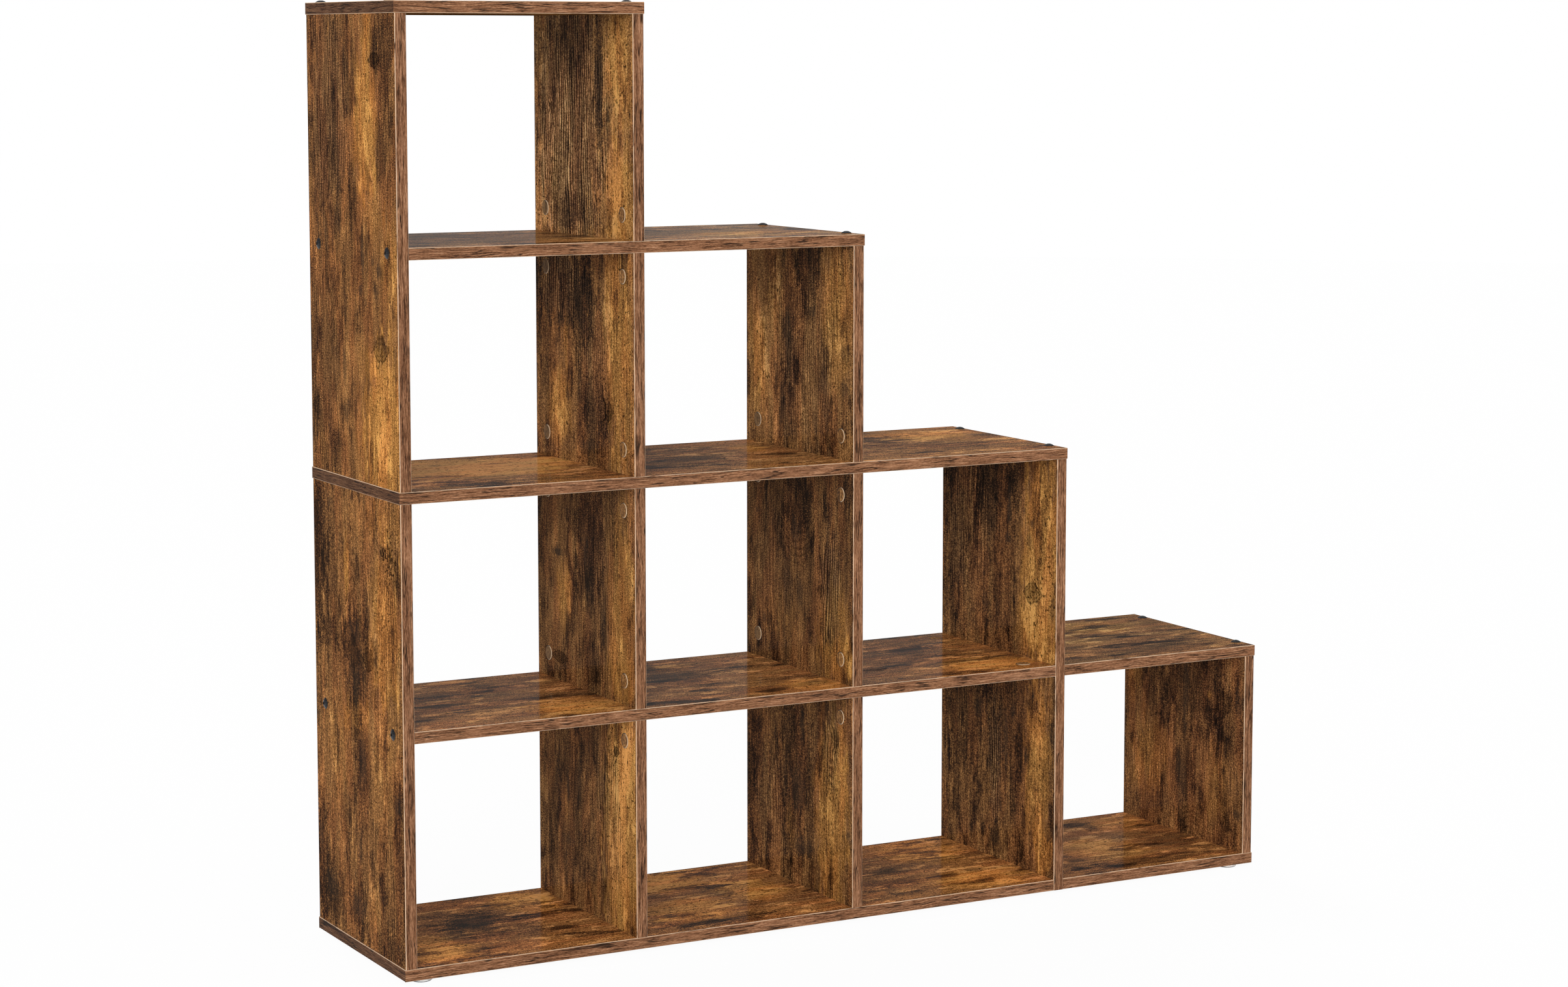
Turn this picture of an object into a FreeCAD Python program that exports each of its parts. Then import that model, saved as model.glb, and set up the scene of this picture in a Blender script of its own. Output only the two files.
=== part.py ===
# Stepped cube bookcase: open cubes in four columns that are four, three, two and one cube high.
# Flat-pack boards with glued edging, held by connector bolts, cam fittings and wood dowels.
# X runs along the front to the right, Y to the back and Z up. The origin is on the floor,
# under the middle of the bookcase.
import FreeCAD, Part
import math
import os
import Sketcher

# Driving dimensions in millimetres, one spreadsheet cell each
DRIVING_SIZES = {
    # cubes and boards
    "cell_width": 300.0,
    "cell_height": 280.0,
    "unit_depth": 295.0,
    "board_thickness": 15.0,
    # edging tape and its eased corners
    "band_thickness": 1.0,
    "band_arris": 0.7,
    # rows of fittings, from the front and the rear face
    "fixing_inset": 33.0,
    # gap on the diameter or length of every fitting in its hole
    "fit_clearance": 0.2,
    # connector bolts with a domed head
    "bolt_head_diameter": 14.5,
    "bolt_head_height": 2.8,
    "bolt_shank_diameter": 6.8,
    "bolt_length": 48.0,
    "bolt_point_length": 3.0,
    "bolt_point_diameter": 4.0,
    "bolt_socket_flats": 4.0,
    "bolt_socket_depth": 1.8,
    # cam locks, from the board's end to the cam's axis
    "cam_inset": 31.0,
    "cam_diameter": 14.8,
    "cam_depth": 12.0,
    "cam_floor_gap": 0.5,
    "cam_slot_width": 1.4,
    "cam_slot_length": 8.0,
    "cam_slot_depth": 1.6,
    # double-ended cam bolts
    "cam_bolt_diameter": 6.8,
    "cam_bolt_neck_diameter": 4.0,
    "cam_bolt_neck_run": 1.2,
    "cam_bolt_head_diameter": 6.0,
    "cam_bolt_head_length": 3.4,
    # wood dowels beside the bolts
    "dowel_diameter": 8.0,
    "dowel_length": 30.0,
    "dowel_face_depth": 10.0,
    "dowel_arris": 0.8,
    "dowel_offset": 45.0,
    # adhesive discs over the cam locks
    "cover_diameter": 20.0,
    "cover_thickness": 0.3,
    # nail-on feet
    "foot_height": 5.0,
    "foot_diameter": 27.0,
    "foot_arris": 1.0,
    "foot_inset_side": 28.0,
    "foot_inset_front": 20.0,
    "foot_recess_depth": 2.4,
    "nail_diameter": 2.4,
    "nail_depth": 10.0,
    "nail_point_length": 2.0,
    "nail_head_diameter": 6.0,
    "nail_head_thickness": 1.2,
}
# Lines of uprights from left to right, and levels of shelves from the floor up
UPRIGHT_LINES = ("left_side", "first_divider", "second_divider", "tall_divider", "right_side")
LEVELS = ("bottom", "lower", "middle", "upper", "top")
HEX_SIDES = 6

doc = FreeCAD.newDocument("cube_bookcase")
sheet = doc.addObject("Spreadsheet::Sheet", "Sizes")
for row, (alias, number) in enumerate(DRIVING_SIZES.items(), start=1):
    sheet.set(f"A{row}", alias)
    sheet.set(f"B{row}", str(number))
    sheet.setAlias(f"B{row}", alias)
doc.recompute()

# Expressions that many pieces share
BOARD = "Sizes.board_thickness"
MID_BOARD = f"{BOARD} / 2"
BAND = "Sizes.band_thickness"
GAP = "Sizes.fit_clearance"
COLUMN_PITCH = f"(Sizes.cell_width + {BOARD})"
ROW_PITCH = f"(Sizes.cell_height + {BOARD})"
CORE_DEPTH = f"(Sizes.unit_depth - 2 * {BAND})"
FRONT_ROW = f"(Sizes.fixing_inset - {BAND})"
REAR_ROW = f"({CORE_DEPTH} - {FRONT_ROW})"
# a joint above or left of a board has its dowel towards the front, the opposite joint towards the rear
FRONT_DOWEL = f"({CORE_DEPTH} / 2 - Sizes.dowel_offset)"
REAR_DOWEL = f"({CORE_DEPTH} / 2 + Sizes.dowel_offset)"
BOLT_HOLE = f"Sizes.bolt_shank_diameter + {GAP}"
BOLT_PILOT_DEPTH = f"Sizes.bolt_length - {BOARD} + {GAP}"
CAM_BOLT_HOLE = f"Sizes.cam_bolt_diameter + {GAP}"
CAM_BORE = f"Sizes.cam_diameter + {GAP}"
CAM_BORE_DEPTH = "Sizes.cam_depth + Sizes.cam_floor_gap"
DOWEL_HOLE = f"Sizes.dowel_diameter + {GAP}"
DOWEL_FACE_HOLE = f"Sizes.dowel_face_depth + {GAP}"
DOWEL_END_HOLE = f"Sizes.dowel_length - Sizes.dowel_face_depth + {GAP}"
NAIL_HOLE = f"Sizes.nail_diameter + {GAP}"

# The left outer face, the front faces of the bare boards and the underside of the bottom boards.
# Bolt heads stand out on the left and edging on the right, and the origin is midway between them.
UNIT_WIDTH = f"({len(UPRIGHT_LINES) - 1} * {COLUMN_PITCH} + {BOARD})"
UNIT_ORIGIN = (
    f"(Sizes.bolt_head_height - {BAND} - {UNIT_WIDTH}) / 2",
    f"-{CORE_DEPTH} / 2",
    "Sizes.foot_height",
)

X, Y, Z = FreeCAD.Vector(1, 0, 0), FreeCAD.Vector(0, 1, 0), FreeCAD.Vector(0, 0, 1)


def value(expression):
    return float(sheet.evalExpression(expression))


def upright_face(line, side="left"):
    face = f"{UPRIGHT_LINES.index(line)} * {COLUMN_PITCH}"
    return face if side == "left" else f"{face} + {BOARD}"


def upright_middle(line):
    return f"{upright_face(line)} + {MID_BOARD}"


def level_face(level, side="under"):
    face = f"{LEVELS.index(level)} * {ROW_PITCH}"
    return face if side == "under" else f"{face} + {BOARD}"


def level_middle(level):
    return f"{level_face(level)} + {MID_BOARD}"


def place(piece, position, rotation=FreeCAD.Rotation()):
    """Put a piece at a point of the unit, measured from UNIT_ORIGIN."""
    piece.Placement = FreeCAD.Placement(FreeCAD.Vector(), rotation)
    for axis, start, along in zip("xyz", UNIT_ORIGIN, position):
        piece.setExpression(f"Placement.Base.{axis}", f"{start} + {along}")


def turn(outward, along):
    """Rotation that takes local Z to outward and local X to along."""
    return FreeCAD.Rotation(along, outward.cross(along), outward, "ZXY")


# Sketches


def new_sketch(body, name, plane, offset="0"):
    sketch = body.newObject("Sketcher::SketchObject", name)
    support = next(item for item in body.Origin.OriginFeatures if item.Role == plane)
    sketch.AttachmentSupport = [(support, "")]
    sketch.MapMode = "FlatFace"
    sketch.setExpression("AttachmentOffset.Base.z", offset)
    return sketch


def fix_point(sketch, edge, end, across, up):
    for kind, axis, expression in (("DistanceX", -2, across), ("DistanceY", -1, up)):
        if expression == "0":
            sketch.addConstraint(Sketcher.Constraint("PointOnObject", edge, end, axis))
        else:
            rule = Sketcher.Constraint(kind, -1, 1, edge, end, value(expression))
            index = sketch.addConstraint(rule)
            sketch.setExpression(f"Constraints[{index}]", expression)


def draw_outline(sketch, corners, domed=None):
    """Closed outline through the corners; the edge after corner number domed is an arc about the V axis."""
    points = [FreeCAD.Vector(value(across), value(up), 0) for across, up in corners]
    count = len(points)
    for index, start in enumerate(points):
        end = points[(index + 1) % count]
        if index == domed:
            rise = end.y - start.y
            radius = (start.x ** 2 + rise ** 2) / (2 * rise)
            circle = Part.Circle(FreeCAD.Vector(0, end.y - radius, 0), Z, radius)
            sketch.addGeometry(Part.ArcOfCircle(circle, math.asin((radius - rise) / radius), math.pi / 2))
        else:
            sketch.addGeometry(Part.LineSegment(start, end))
    for index in range(count):
        sketch.addConstraint(Sketcher.Constraint("Coincident", index, 2, (index + 1) % count, 1))
    for index, (across, up) in enumerate(corners):
        fix_point(sketch, index, 1, across, up)
    if domed is not None:
        sketch.addConstraint(Sketcher.Constraint("PointOnObject", domed, 3, -2))


def draw_circles(sketch, centres, diameter):
    for across, up in centres:
        centre = FreeCAD.Vector(value(across), value(up), 0)
        edge = sketch.addGeometry(Part.Circle(centre, Z, value(diameter) / 2))
        fix_point(sketch, edge, 3, across, up)
        index = sketch.addConstraint(Sketcher.Constraint("Diameter", edge, value(diameter)))
        sketch.setExpression(f"Constraints[{index}]", diameter)


# Features


def new_body(name):
    body = doc.addObject("PartDesign::Body", name)
    body.Label = name
    return body


def pad(body, sketch, length):
    feature = body.newObject("PartDesign::Pad", f"{body.Label}_pad")
    feature.Profile = sketch
    feature.setExpression("Length", length)


def pocket(body, sketch, depth, forward):
    """Cut along the sketch's normal if forward, else against it; depth None goes right through."""
    feature = body.newObject("PartDesign::Pocket", f"{sketch.Name}_cut")
    feature.Profile = sketch
    feature.Reversed = forward
    if depth is None:
        feature.Type = "ThroughAll"
    else:
        feature.setExpression("Length", depth)


def revolve(body, corners, domed=None):
    sketch = new_sketch(body, f"{body.Label}_profile", "XZ_Plane")
    draw_outline(sketch, corners, domed)
    feature = body.newObject("PartDesign::Revolution", f"{body.Label}_turned")
    feature.Profile = sketch
    feature.ReferenceAxis = (sketch, ["V_Axis"])


def drill(body, axis, start, forward, depth, diameter, centres):
    plane = {"x": "YZ_Plane", "z": "XY_Plane"}[axis]
    sketch = new_sketch(body, f"{body.Label}_holes", plane, start)
    draw_circles(sketch, centres, diameter)
    pocket(body, sketch, depth, forward)


# Boards


class Board:
    """A board cut from sheet, with its first corner at x and z in the unit."""

    def __init__(self, name, x, z, length, height):
        self.name, self.x, self.z, self.length, self.height = name, x, z, length, height
        self.body = new_body(name)
        sketch = new_sketch(self.body, f"{name}_outline", "XY_Plane")
        draw_outline(sketch, [("0", "0"), (length, "0"), (length, CORE_DEPTH), ("0", CORE_DEPTH)])
        pad(self.body, sketch, height)
        place(self.body, (x, "0", z))

    def rows(self, at, axis):
        """The front and the rear fitting, at a distance along the board."""
        if axis == "x":
            return [(FRONT_ROW, at), (REAR_ROW, at)]
        return [(at, FRONT_ROW), (at, REAR_ROW)]


class Shelf(Board):
    """A board that lies flat, between two faces of the uprights."""

    def __init__(self, name, level, start, end):
        first, last = upright_face(*start), upright_face(*end)
        super().__init__(name, first, level_face(level), f"{last} - ({first})", BOARD)
        self.level = level

    def along(self, line):
        return f"{upright_middle(line)} - ({self.x})"

    def bore(self, line, diameter):
        """Holes right through, on the middle line of an upright."""
        drill(self.body, "z", "0", True, None, diameter, self.rows(self.along(line), "z"))

    def dowel_hole(self, line, side):
        start, row = (BOARD, FRONT_DOWEL) if side == "top" else ("0", REAR_DOWEL)
        centres = [(self.along(line), row)]
        drill(self.body, "z", start, side != "top", DOWEL_FACE_HOLE, DOWEL_HOLE, centres)

    def end_holes(self, end, depth, diameter):
        start = "0" if end == "left" else self.length
        drill(self.body, "x", start, end == "left", depth, diameter, self.rows(MID_BOARD, "x"))

    def end_dowel(self, end, row):
        start = "0" if end == "left" else self.length
        centres = [(row, MID_BOARD)]
        drill(self.body, "x", start, end == "left", DOWEL_END_HOLE, DOWEL_HOLE, centres)

    def cam_bores(self, end, side):
        at = "Sizes.cam_inset" if end == "left" else f"{self.length} - Sizes.cam_inset"
        start = BOARD if side == "top" else "0"
        drill(self.body, "z", start, side != "top", CAM_BORE_DEPTH, CAM_BORE, self.rows(at, "z"))


class Upright(Board):
    """A board that stands, between two faces of the shelves."""

    def __init__(self, name, line, start, end):
        first, last = level_face(*start), level_face(*end)
        super().__init__(name, upright_face(line), first, BOARD, f"{last} - ({first})")
        self.line = line

    def up(self, level):
        return f"{level_middle(level)} - ({self.z})"

    def bore(self, level, diameter):
        drill(self.body, "x", "0", True, None, diameter, self.rows(self.up(level), "x"))

    def dowel_hole(self, level, side):
        start, row = ("0", FRONT_DOWEL) if side == "left" else (BOARD, REAR_DOWEL)
        self.face_dowel(level, start, side == "left", row)

    def face_dowel(self, level, start, forward, row):
        drill(self.body, "x", start, forward, DOWEL_FACE_HOLE, DOWEL_HOLE, [(row, self.up(level))])

    def end_holes(self, end, depth, diameter):
        start = "0" if end == "bottom" else self.height
        drill(self.body, "z", start, end == "bottom", depth, diameter, self.rows(MID_BOARD, "z"))

    def end_dowel(self, end):
        start, row = ("0", FRONT_DOWEL) if end == "bottom" else (self.height, REAR_DOWEL)
        centres = [(MID_BOARD, row)]
        drill(self.body, "z", start, end == "bottom", DOWEL_END_HOLE, DOWEL_HOLE, centres)

    def cam_bores(self, end, side):
        at = "Sizes.cam_inset" if end == "bottom" else f"{self.height} - Sizes.cam_inset"
        start = "0" if side == "left" else BOARD
        drill(self.body, "x", start, side == "left", CAM_BORE_DEPTH, CAM_BORE, self.rows(at, "x"))


shelves = {
    "top_panel": Shelf("top_panel", "top", ("left_side", "left"), ("first_divider", "right")),
    "upper_shelf": Shelf("upper_shelf", "upper", ("left_side", "right"), ("second_divider", "right")),
    "middle_shelf": Shelf("middle_shelf", "middle", ("left_side", "left"), ("tall_divider", "right")),
    "lower_shelf": Shelf("lower_shelf", "lower", ("left_side", "right"), ("tall_divider", "left")),
    "bottom_panel": Shelf("bottom_panel", "bottom", ("left_side", "left"), ("tall_divider", "left")),
    "end_cube_top": Shelf("end_cube_top", "lower", ("tall_divider", "right"), ("right_side", "right")),
    "end_cube_bottom": Shelf("end_cube_bottom", "bottom", ("tall_divider", "right"), ("right_side", "right")),
}
uprights = {
    "left_side_upper": Upright("left_side_upper", "left_side", ("middle", "over"), ("top", "under")),
    "left_side_lower": Upright("left_side_lower", "left_side", ("bottom", "over"), ("middle", "under")),
    "tall_divider": Upright("tall_divider", "tall_divider", ("bottom", "under"), ("middle", "under")),
    "right_side": Upright("right_side", "right_side", ("bottom", "over"), ("lower", "under")),
}
# The other dividers are one board a row, and the rows are numbered down from the top
row_spans = list(zip(LEVELS, LEVELS[1:]))
for line, spans in (("first_divider", row_spans), ("second_divider", row_spans[:-1])):
    for row, (below, above) in zip(range(len(row_spans), 0, -1), spans):
        name = f"{line}_row_{row}"
        uprights[name] = Upright(name, line, (below, "over"), (above, "under"))

# Fittings, each collected as positions and rotations until its piece is made
top_bolt_places, side_bolt_places, bottom_bolt_places = [], [], []
cam_places, cam_bolt_places, dowel_places = [], [], []
ROWS = (FRONT_ROW, REAR_ROW)


def bolt_down(shelf_name, upright_name):
    """Bolts through a shelf from above, into the top end of an upright."""
    shelf, upright = shelves[shelf_name], uprights[upright_name]
    shelf.bore(upright.line, BOLT_HOLE)
    shelf.dowel_hole(upright.line, "under")
    upright.end_holes("top", BOLT_PILOT_DEPTH, BOLT_HOLE)
    upright.end_dowel("top")
    middle = upright_middle(upright.line)
    top_bolt_places.extend(((middle, row, level_face(shelf.level, "over")), turn(Z, X)) for row in ROWS)
    dowel_places.append(((middle, REAR_DOWEL, level_face(shelf.level)), turn(-Z, X)))


def bolt_up(shelf_name, upright_name):
    """Bolts through a shelf from below, into the bottom end of an upright."""
    shelf, upright = shelves[shelf_name], uprights[upright_name]
    shelf.bore(upright.line, BOLT_HOLE)
    shelf.dowel_hole(upright.line, "top")
    upright.end_holes("bottom", BOLT_PILOT_DEPTH, BOLT_HOLE)
    upright.end_dowel("bottom")
    middle = upright_middle(upright.line)
    bottom_bolt_places.extend(((middle, row, level_face(shelf.level)), turn(-Z, X)) for row in ROWS)
    dowel_places.append(((middle, FRONT_DOWEL, level_face(shelf.level, "over")), turn(Z, X)))


def bolt_in(upright_name, shelf_name):
    """Bolts through the left side, into the left end of a shelf."""
    upright, shelf = uprights[upright_name], shelves[shelf_name]
    upright.bore(shelf.level, BOLT_HOLE)
    upright.face_dowel(shelf.level, BOARD, False, FRONT_DOWEL)
    shelf.end_holes("left", BOLT_PILOT_DEPTH, BOLT_HOLE)
    shelf.end_dowel("left", FRONT_DOWEL)
    middle = level_middle(shelf.level)
    side_bolt_places.extend(((upright.x, row, middle), turn(-X, Y)) for row in ROWS)
    dowel_places.append(((f"{upright.x} + {BOARD}", FRONT_DOWEL, middle), turn(X, Y)))


def cam_across_shelf(shelf_name, above, below, face):
    """Double-ended cam bolts through a shelf, into the uprights above and below it."""
    shelf, upper, lower = shelves[shelf_name], uprights[above], uprights[below]
    shelf.bore(upper.line, CAM_BOLT_HOLE)
    middle = upright_middle(upper.line)
    cam_x = upright_face(upper.line, face)
    outward = -X if face == "left" else X
    for upright, end, side, surface, into, row in (
        (upper, "bottom", "top", "over", Z, FRONT_DOWEL),
        (lower, "top", "under", "under", -Z, REAR_DOWEL),
    ):
        shelf.dowel_hole(upright.line, side)
        upright.end_holes(end, "Sizes.cam_inset", CAM_BOLT_HOLE)
        upright.end_dowel(end)
        upright.cam_bores(end, face)
        start = level_face(shelf.level, surface)
        cam_z = f"{start} {'+' if end == 'bottom' else '-'} Sizes.cam_inset"
        cam_places.extend(((cam_x, fitting, cam_z), turn(outward, -into)) for fitting in ROWS)
        dowel_places.append(((middle, row, start), turn(into, X)))
    cam_bolt_places.extend(((middle, row, level_middle(shelf.level)), turn(Z, X)) for row in ROWS)


def cam_across_upright(upright_name, left_shelf, left_face, right_shelf, right_face):
    """Double-ended cam bolts through an upright, into the shelves on both sides of it."""
    upright, level = uprights[upright_name], shelves[left_shelf].level
    upright.bore(level, CAM_BOLT_HOLE)
    middle = level_middle(level)
    for shelf_name, end, side, face, into, row in (
        (left_shelf, "right", "left", left_face, -X, FRONT_DOWEL),
        (right_shelf, "left", "right", right_face, X, REAR_DOWEL),
    ):
        shelf = shelves[shelf_name]
        upright.dowel_hole(level, side)
        shelf.end_holes(end, "Sizes.cam_inset", CAM_BOLT_HOLE)
        shelf.end_dowel(end, row)
        shelf.cam_bores(end, face)
        start = upright_face(upright.line, side)
        cam_x = f"{start} {'+' if end == 'left' else '-'} Sizes.cam_inset"
        cam_z = level_face(level, "over" if face == "top" else "under")
        outward = Z if face == "top" else -Z
        cam_places.extend(((cam_x, fitting, cam_z), turn(outward, -into)) for fitting in ROWS)
        dowel_places.append(((start, row, middle), turn(into, Y)))
    cam_bolt_places.extend(((upright_middle(upright.line), row, middle), turn(X, Y)) for row in ROWS)


bolt_down("top_panel", "left_side_upper")
bolt_down("top_panel", "first_divider_row_1")
bolt_down("upper_shelf", "second_divider_row_2")
bolt_down("middle_shelf", "tall_divider")
bolt_down("end_cube_top", "right_side")
bolt_up("bottom_panel", "left_side_lower")
bolt_up("bottom_panel", "first_divider_row_4")
bolt_up("bottom_panel", "second_divider_row_4")
bolt_up("end_cube_bottom", "right_side")
bolt_in("left_side_upper", "upper_shelf")
bolt_in("left_side_lower", "lower_shelf")
cam_across_shelf("middle_shelf", "left_side_upper", "left_side_lower", "right")
cam_across_shelf("upper_shelf", "first_divider_row_1", "first_divider_row_2", "left")
for label in ("first_divider", "second_divider"):
    cam_across_shelf("middle_shelf", f"{label}_row_2", f"{label}_row_3", "left")
    cam_across_shelf("lower_shelf", f"{label}_row_3", f"{label}_row_4", "left")
cam_across_upright("tall_divider", "lower_shelf", "top", "end_cube_top", "under")
cam_across_upright("tall_divider", "bottom_panel", "under", "end_cube_bottom", "under")

# Edging, one strip glued on each edge that stays in view


def make_strip(name, length, position, outward, along):
    """Tape across a board's thickness, with its two outer corners eased."""
    body = new_body(name)
    sketch = new_sketch(body, f"{name}_section", "XY_Plane")
    shoulder = f"{BAND} - Sizes.band_arris"
    flat = f"{MID_BOARD} - Sizes.band_arris"
    corners = [
        (f"-{MID_BOARD}", "0"),
        (MID_BOARD, "0"),
        (MID_BOARD, shoulder),
        (flat, BAND),
        (f"-({flat})", BAND),
        (f"-{MID_BOARD}", shoulder),
    ]
    draw_outline(sketch, corners)
    pad(body, sketch, length)
    place(body, position, FreeCAD.Rotation(outward.cross(along), outward, along, "ZYX"))
    return body


def edge_shelf(name, left_end, right_end):
    """Strips along the front and rear of a shelf, and on its ends where they stay in view."""
    shelf = shelves[name]
    start = f"{shelf.x} - {BAND}" if left_end else shelf.x
    length = shelf.length + f" + {BAND}" * (left_end + right_end)
    middle = f"{shelf.z} + {MID_BOARD}"
    strips = [
        make_strip(f"{name}_front_strip", length, (start, "0", middle), -Y, X),
        make_strip(f"{name}_rear_strip", length, (start, CORE_DEPTH, middle), Y, X),
    ]
    if left_end:
        strips.append(make_strip(f"{name}_left_strip", CORE_DEPTH, (shelf.x, "0", middle), -X, Y))
    if right_end:
        end = f"{shelf.x} + {shelf.length}"
        strips.append(make_strip(f"{name}_right_strip", CORE_DEPTH, (end, "0", middle), X, Y))
    return strips


def edge_upright(name):
    upright = uprights[name]
    middle = f"{upright.x} + {MID_BOARD}"
    return [
        make_strip(f"{name}_front_strip", upright.height, (middle, "0", upright.z), -Y, Z),
        make_strip(f"{name}_rear_strip", upright.height, (middle, CORE_DEPTH, upright.z), Y, Z),
    ]


def group(name, members):
    compound = doc.addObject("Part::Compound", name)
    compound.Label = name
    compound.Links = members
    return compound


shelf_ends_in_view = {
    "top_panel": (True, True),
    "upper_shelf": (False, True),
    "middle_shelf": (True, True),
    "lower_shelf": (False, False),
    "bottom_panel": (True, False),
    "end_cube_top": (False, True),
    "end_cube_bottom": (False, True),
}
edgings = [group(f"{name}_edging", edge_shelf(name, *ends)) for name, ends in shelf_ends_in_view.items()]
edgings += [group(f"{name}_edging", edge_upright(name)) for name in uprights]

# Fittings: one master of each, linked to all its places


def link_all(name, master, places):
    links = []
    for position, rotation in places:
        link = doc.addObject("App::Link", f"{name}_link")
        link.LinkedObject = master
        place(link, position, rotation)
        links.append(link)
    return group(name, links)


def make_bolt():
    """Connector bolt: seat at Z zero, domed head above it, pointed shank below it."""
    body = new_body("connector_bolt")
    point = "Sizes.bolt_point_diameter / 2"
    shank = "Sizes.bolt_shank_diameter / 2"
    revolve(
        body,
        [
            ("0", "-Sizes.bolt_length"),
            (point, "-Sizes.bolt_length"),
            (shank, "Sizes.bolt_point_length - Sizes.bolt_length"),
            (shank, "0"),
            ("Sizes.bolt_head_diameter / 2", "0"),
            ("0", "Sizes.bolt_head_height"),
        ],
        domed=4,
    )
    socket = new_sketch(body, "bolt_socket", "XY_Plane", "Sizes.bolt_head_height")
    corner = f"Sizes.bolt_socket_flats / (2 * cos(180 deg / {HEX_SIDES}))"
    turns = [f"{side} * 360 deg / {HEX_SIDES} + 180 deg / {HEX_SIDES}" for side in range(HEX_SIDES)]
    draw_outline(socket, [(f"{corner} * cos({angle})", f"{corner} * sin({angle})") for angle in turns])
    pocket(body, socket, "Sizes.bolt_socket_depth", False)
    return body


def make_cam():
    """Cam lock: open face at Z zero, with a driver cross and a way in for the bolt's head along +X."""
    body = new_body("cam_lock")
    disc = new_sketch(body, "cam_disc", "XY_Plane", "-Sizes.cam_depth")
    draw_circles(disc, [("0", "0")], "Sizes.cam_diameter")
    pad(body, disc, "Sizes.cam_depth")
    axis = f"-{MID_BOARD}"
    neck = f"Sizes.cam_bolt_neck_diameter + {GAP}"
    drill(body, "x", "0", True, None, neck, [("0", axis)])
    head = f"Sizes.cam_bolt_head_diameter + {GAP}"
    room = f"Sizes.cam_bolt_head_length + {GAP}"
    drill(body, "x", f"-({room}) / 2", True, room, head, [("0", axis)])
    cross = new_sketch(body, "cam_cross", "XY_Plane")
    arm, half = "Sizes.cam_slot_length / 2", "Sizes.cam_slot_width / 2"
    quarter = [(arm, half), (half, half), (half, arm)]
    corners = quarter + [(f"-{up}", across) for across, up in quarter]
    corners += [(f"-{across}", f"-{up}") for across, up in quarter]
    corners += [(up, f"-{across}") for across, up in quarter]
    draw_outline(cross, corners)
    pocket(body, cross, "Sizes.cam_slot_depth", False)
    return body


def make_cam_bolt():
    """Double-ended bolt about Z, with a head in a cam lock at each end."""
    body = new_body("cam_bolt")
    head_middle = f"({MID_BOARD} + Sizes.cam_inset)"
    head_end = f"({head_middle} + Sizes.cam_bolt_head_length / 2)"
    head_start = f"({head_middle} - Sizes.cam_bolt_head_length / 2)"
    shoulder = f"({head_middle} - Sizes.cam_diameter / 2 - Sizes.cam_bolt_neck_run)"
    shank = "Sizes.cam_bolt_diameter / 2"
    neck = "Sizes.cam_bolt_neck_diameter / 2"
    head = "Sizes.cam_bolt_head_diameter / 2"
    upper = [(shank, shoulder), (neck, shoulder), (neck, head_start), (head, head_start), (head, head_end)]
    lower = [(across, f"-{up}") for across, up in reversed(upper)]
    revolve(body, [("0", f"-{head_end}")] + lower + upper + [("0", head_end)])
    return body


def make_dowel():
    """Wood dowel along Z, with its face depth below Z zero and the rest above."""
    body = new_body("wood_dowel")
    low, high = "-Sizes.dowel_face_depth", "(Sizes.dowel_length - Sizes.dowel_face_depth)"
    wide = "Sizes.dowel_diameter / 2"
    narrow = f"{wide} - Sizes.dowel_arris"
    revolve(
        body,
        [
            ("0", low),
            (narrow, low),
            (wide, f"{low} + Sizes.dowel_arris"),
            (wide, f"{high} - Sizes.dowel_arris"),
            (narrow, high),
            ("0", high),
        ],
    )
    return body


def make_cover():
    cover = doc.addObject("Part::Cylinder", "cam_cover")
    cover.setExpression("Radius", "Sizes.cover_diameter / 2")
    cover.setExpression("Height", "Sizes.cover_thickness")
    return cover


RECESS_CEILING = "(Sizes.foot_recess_depth - Sizes.foot_height)"


def make_foot():
    """Round glide under Z zero, with a nail hole and a recess that hides the nail's head."""
    body = new_body("foot")
    hole = f"({NAIL_HOLE}) / 2"
    recess = f"(Sizes.nail_head_diameter + {GAP}) / 2"
    rim = "Sizes.foot_diameter / 2"
    base = "-Sizes.foot_height"
    revolve(
        body,
        [
            (hole, "0"),
            (hole, RECESS_CEILING),
            (recess, RECESS_CEILING),
            (recess, base),
            (f"{rim} - Sizes.foot_arris", base),
            (rim, f"{base} + Sizes.foot_arris"),
            (rim, "0"),
        ],
    )
    return body


def make_nail():
    body = new_body("nail")
    shank = "Sizes.nail_diameter / 2"
    head = "Sizes.nail_head_diameter / 2"
    underside = f"({RECESS_CEILING} - Sizes.nail_head_thickness)"
    revolve(
        body,
        [
            ("0", underside),
            (head, underside),
            (head, RECESS_CEILING),
            (shank, RECESS_CEILING),
            (shank, "Sizes.nail_depth - Sizes.nail_point_length"),
            ("0", "Sizes.nail_depth"),
        ],
    )
    return body


# Feet under the four corners, nailed into the bottom boards
foot_rows = (f"Sizes.foot_inset_front - {BAND}", f"{CORE_DEPTH} - (Sizes.foot_inset_front - {BAND})")
foot_columns = (
    ("bottom_panel", "Sizes.foot_inset_side"),
    ("end_cube_bottom", f"{UNIT_WIDTH} - Sizes.foot_inset_side"),
)
foot_places = []
for name, across in foot_columns:
    shelf = shelves[name]
    centres = [(f"{across} - ({shelf.x})", row) for row in foot_rows]
    drill(shelf.body, "z", "0", True, f"Sizes.nail_depth + {GAP}", NAIL_HOLE, centres)
    foot_places += [((across, row, "0"), FreeCAD.Rotation()) for row in foot_rows]

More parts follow.
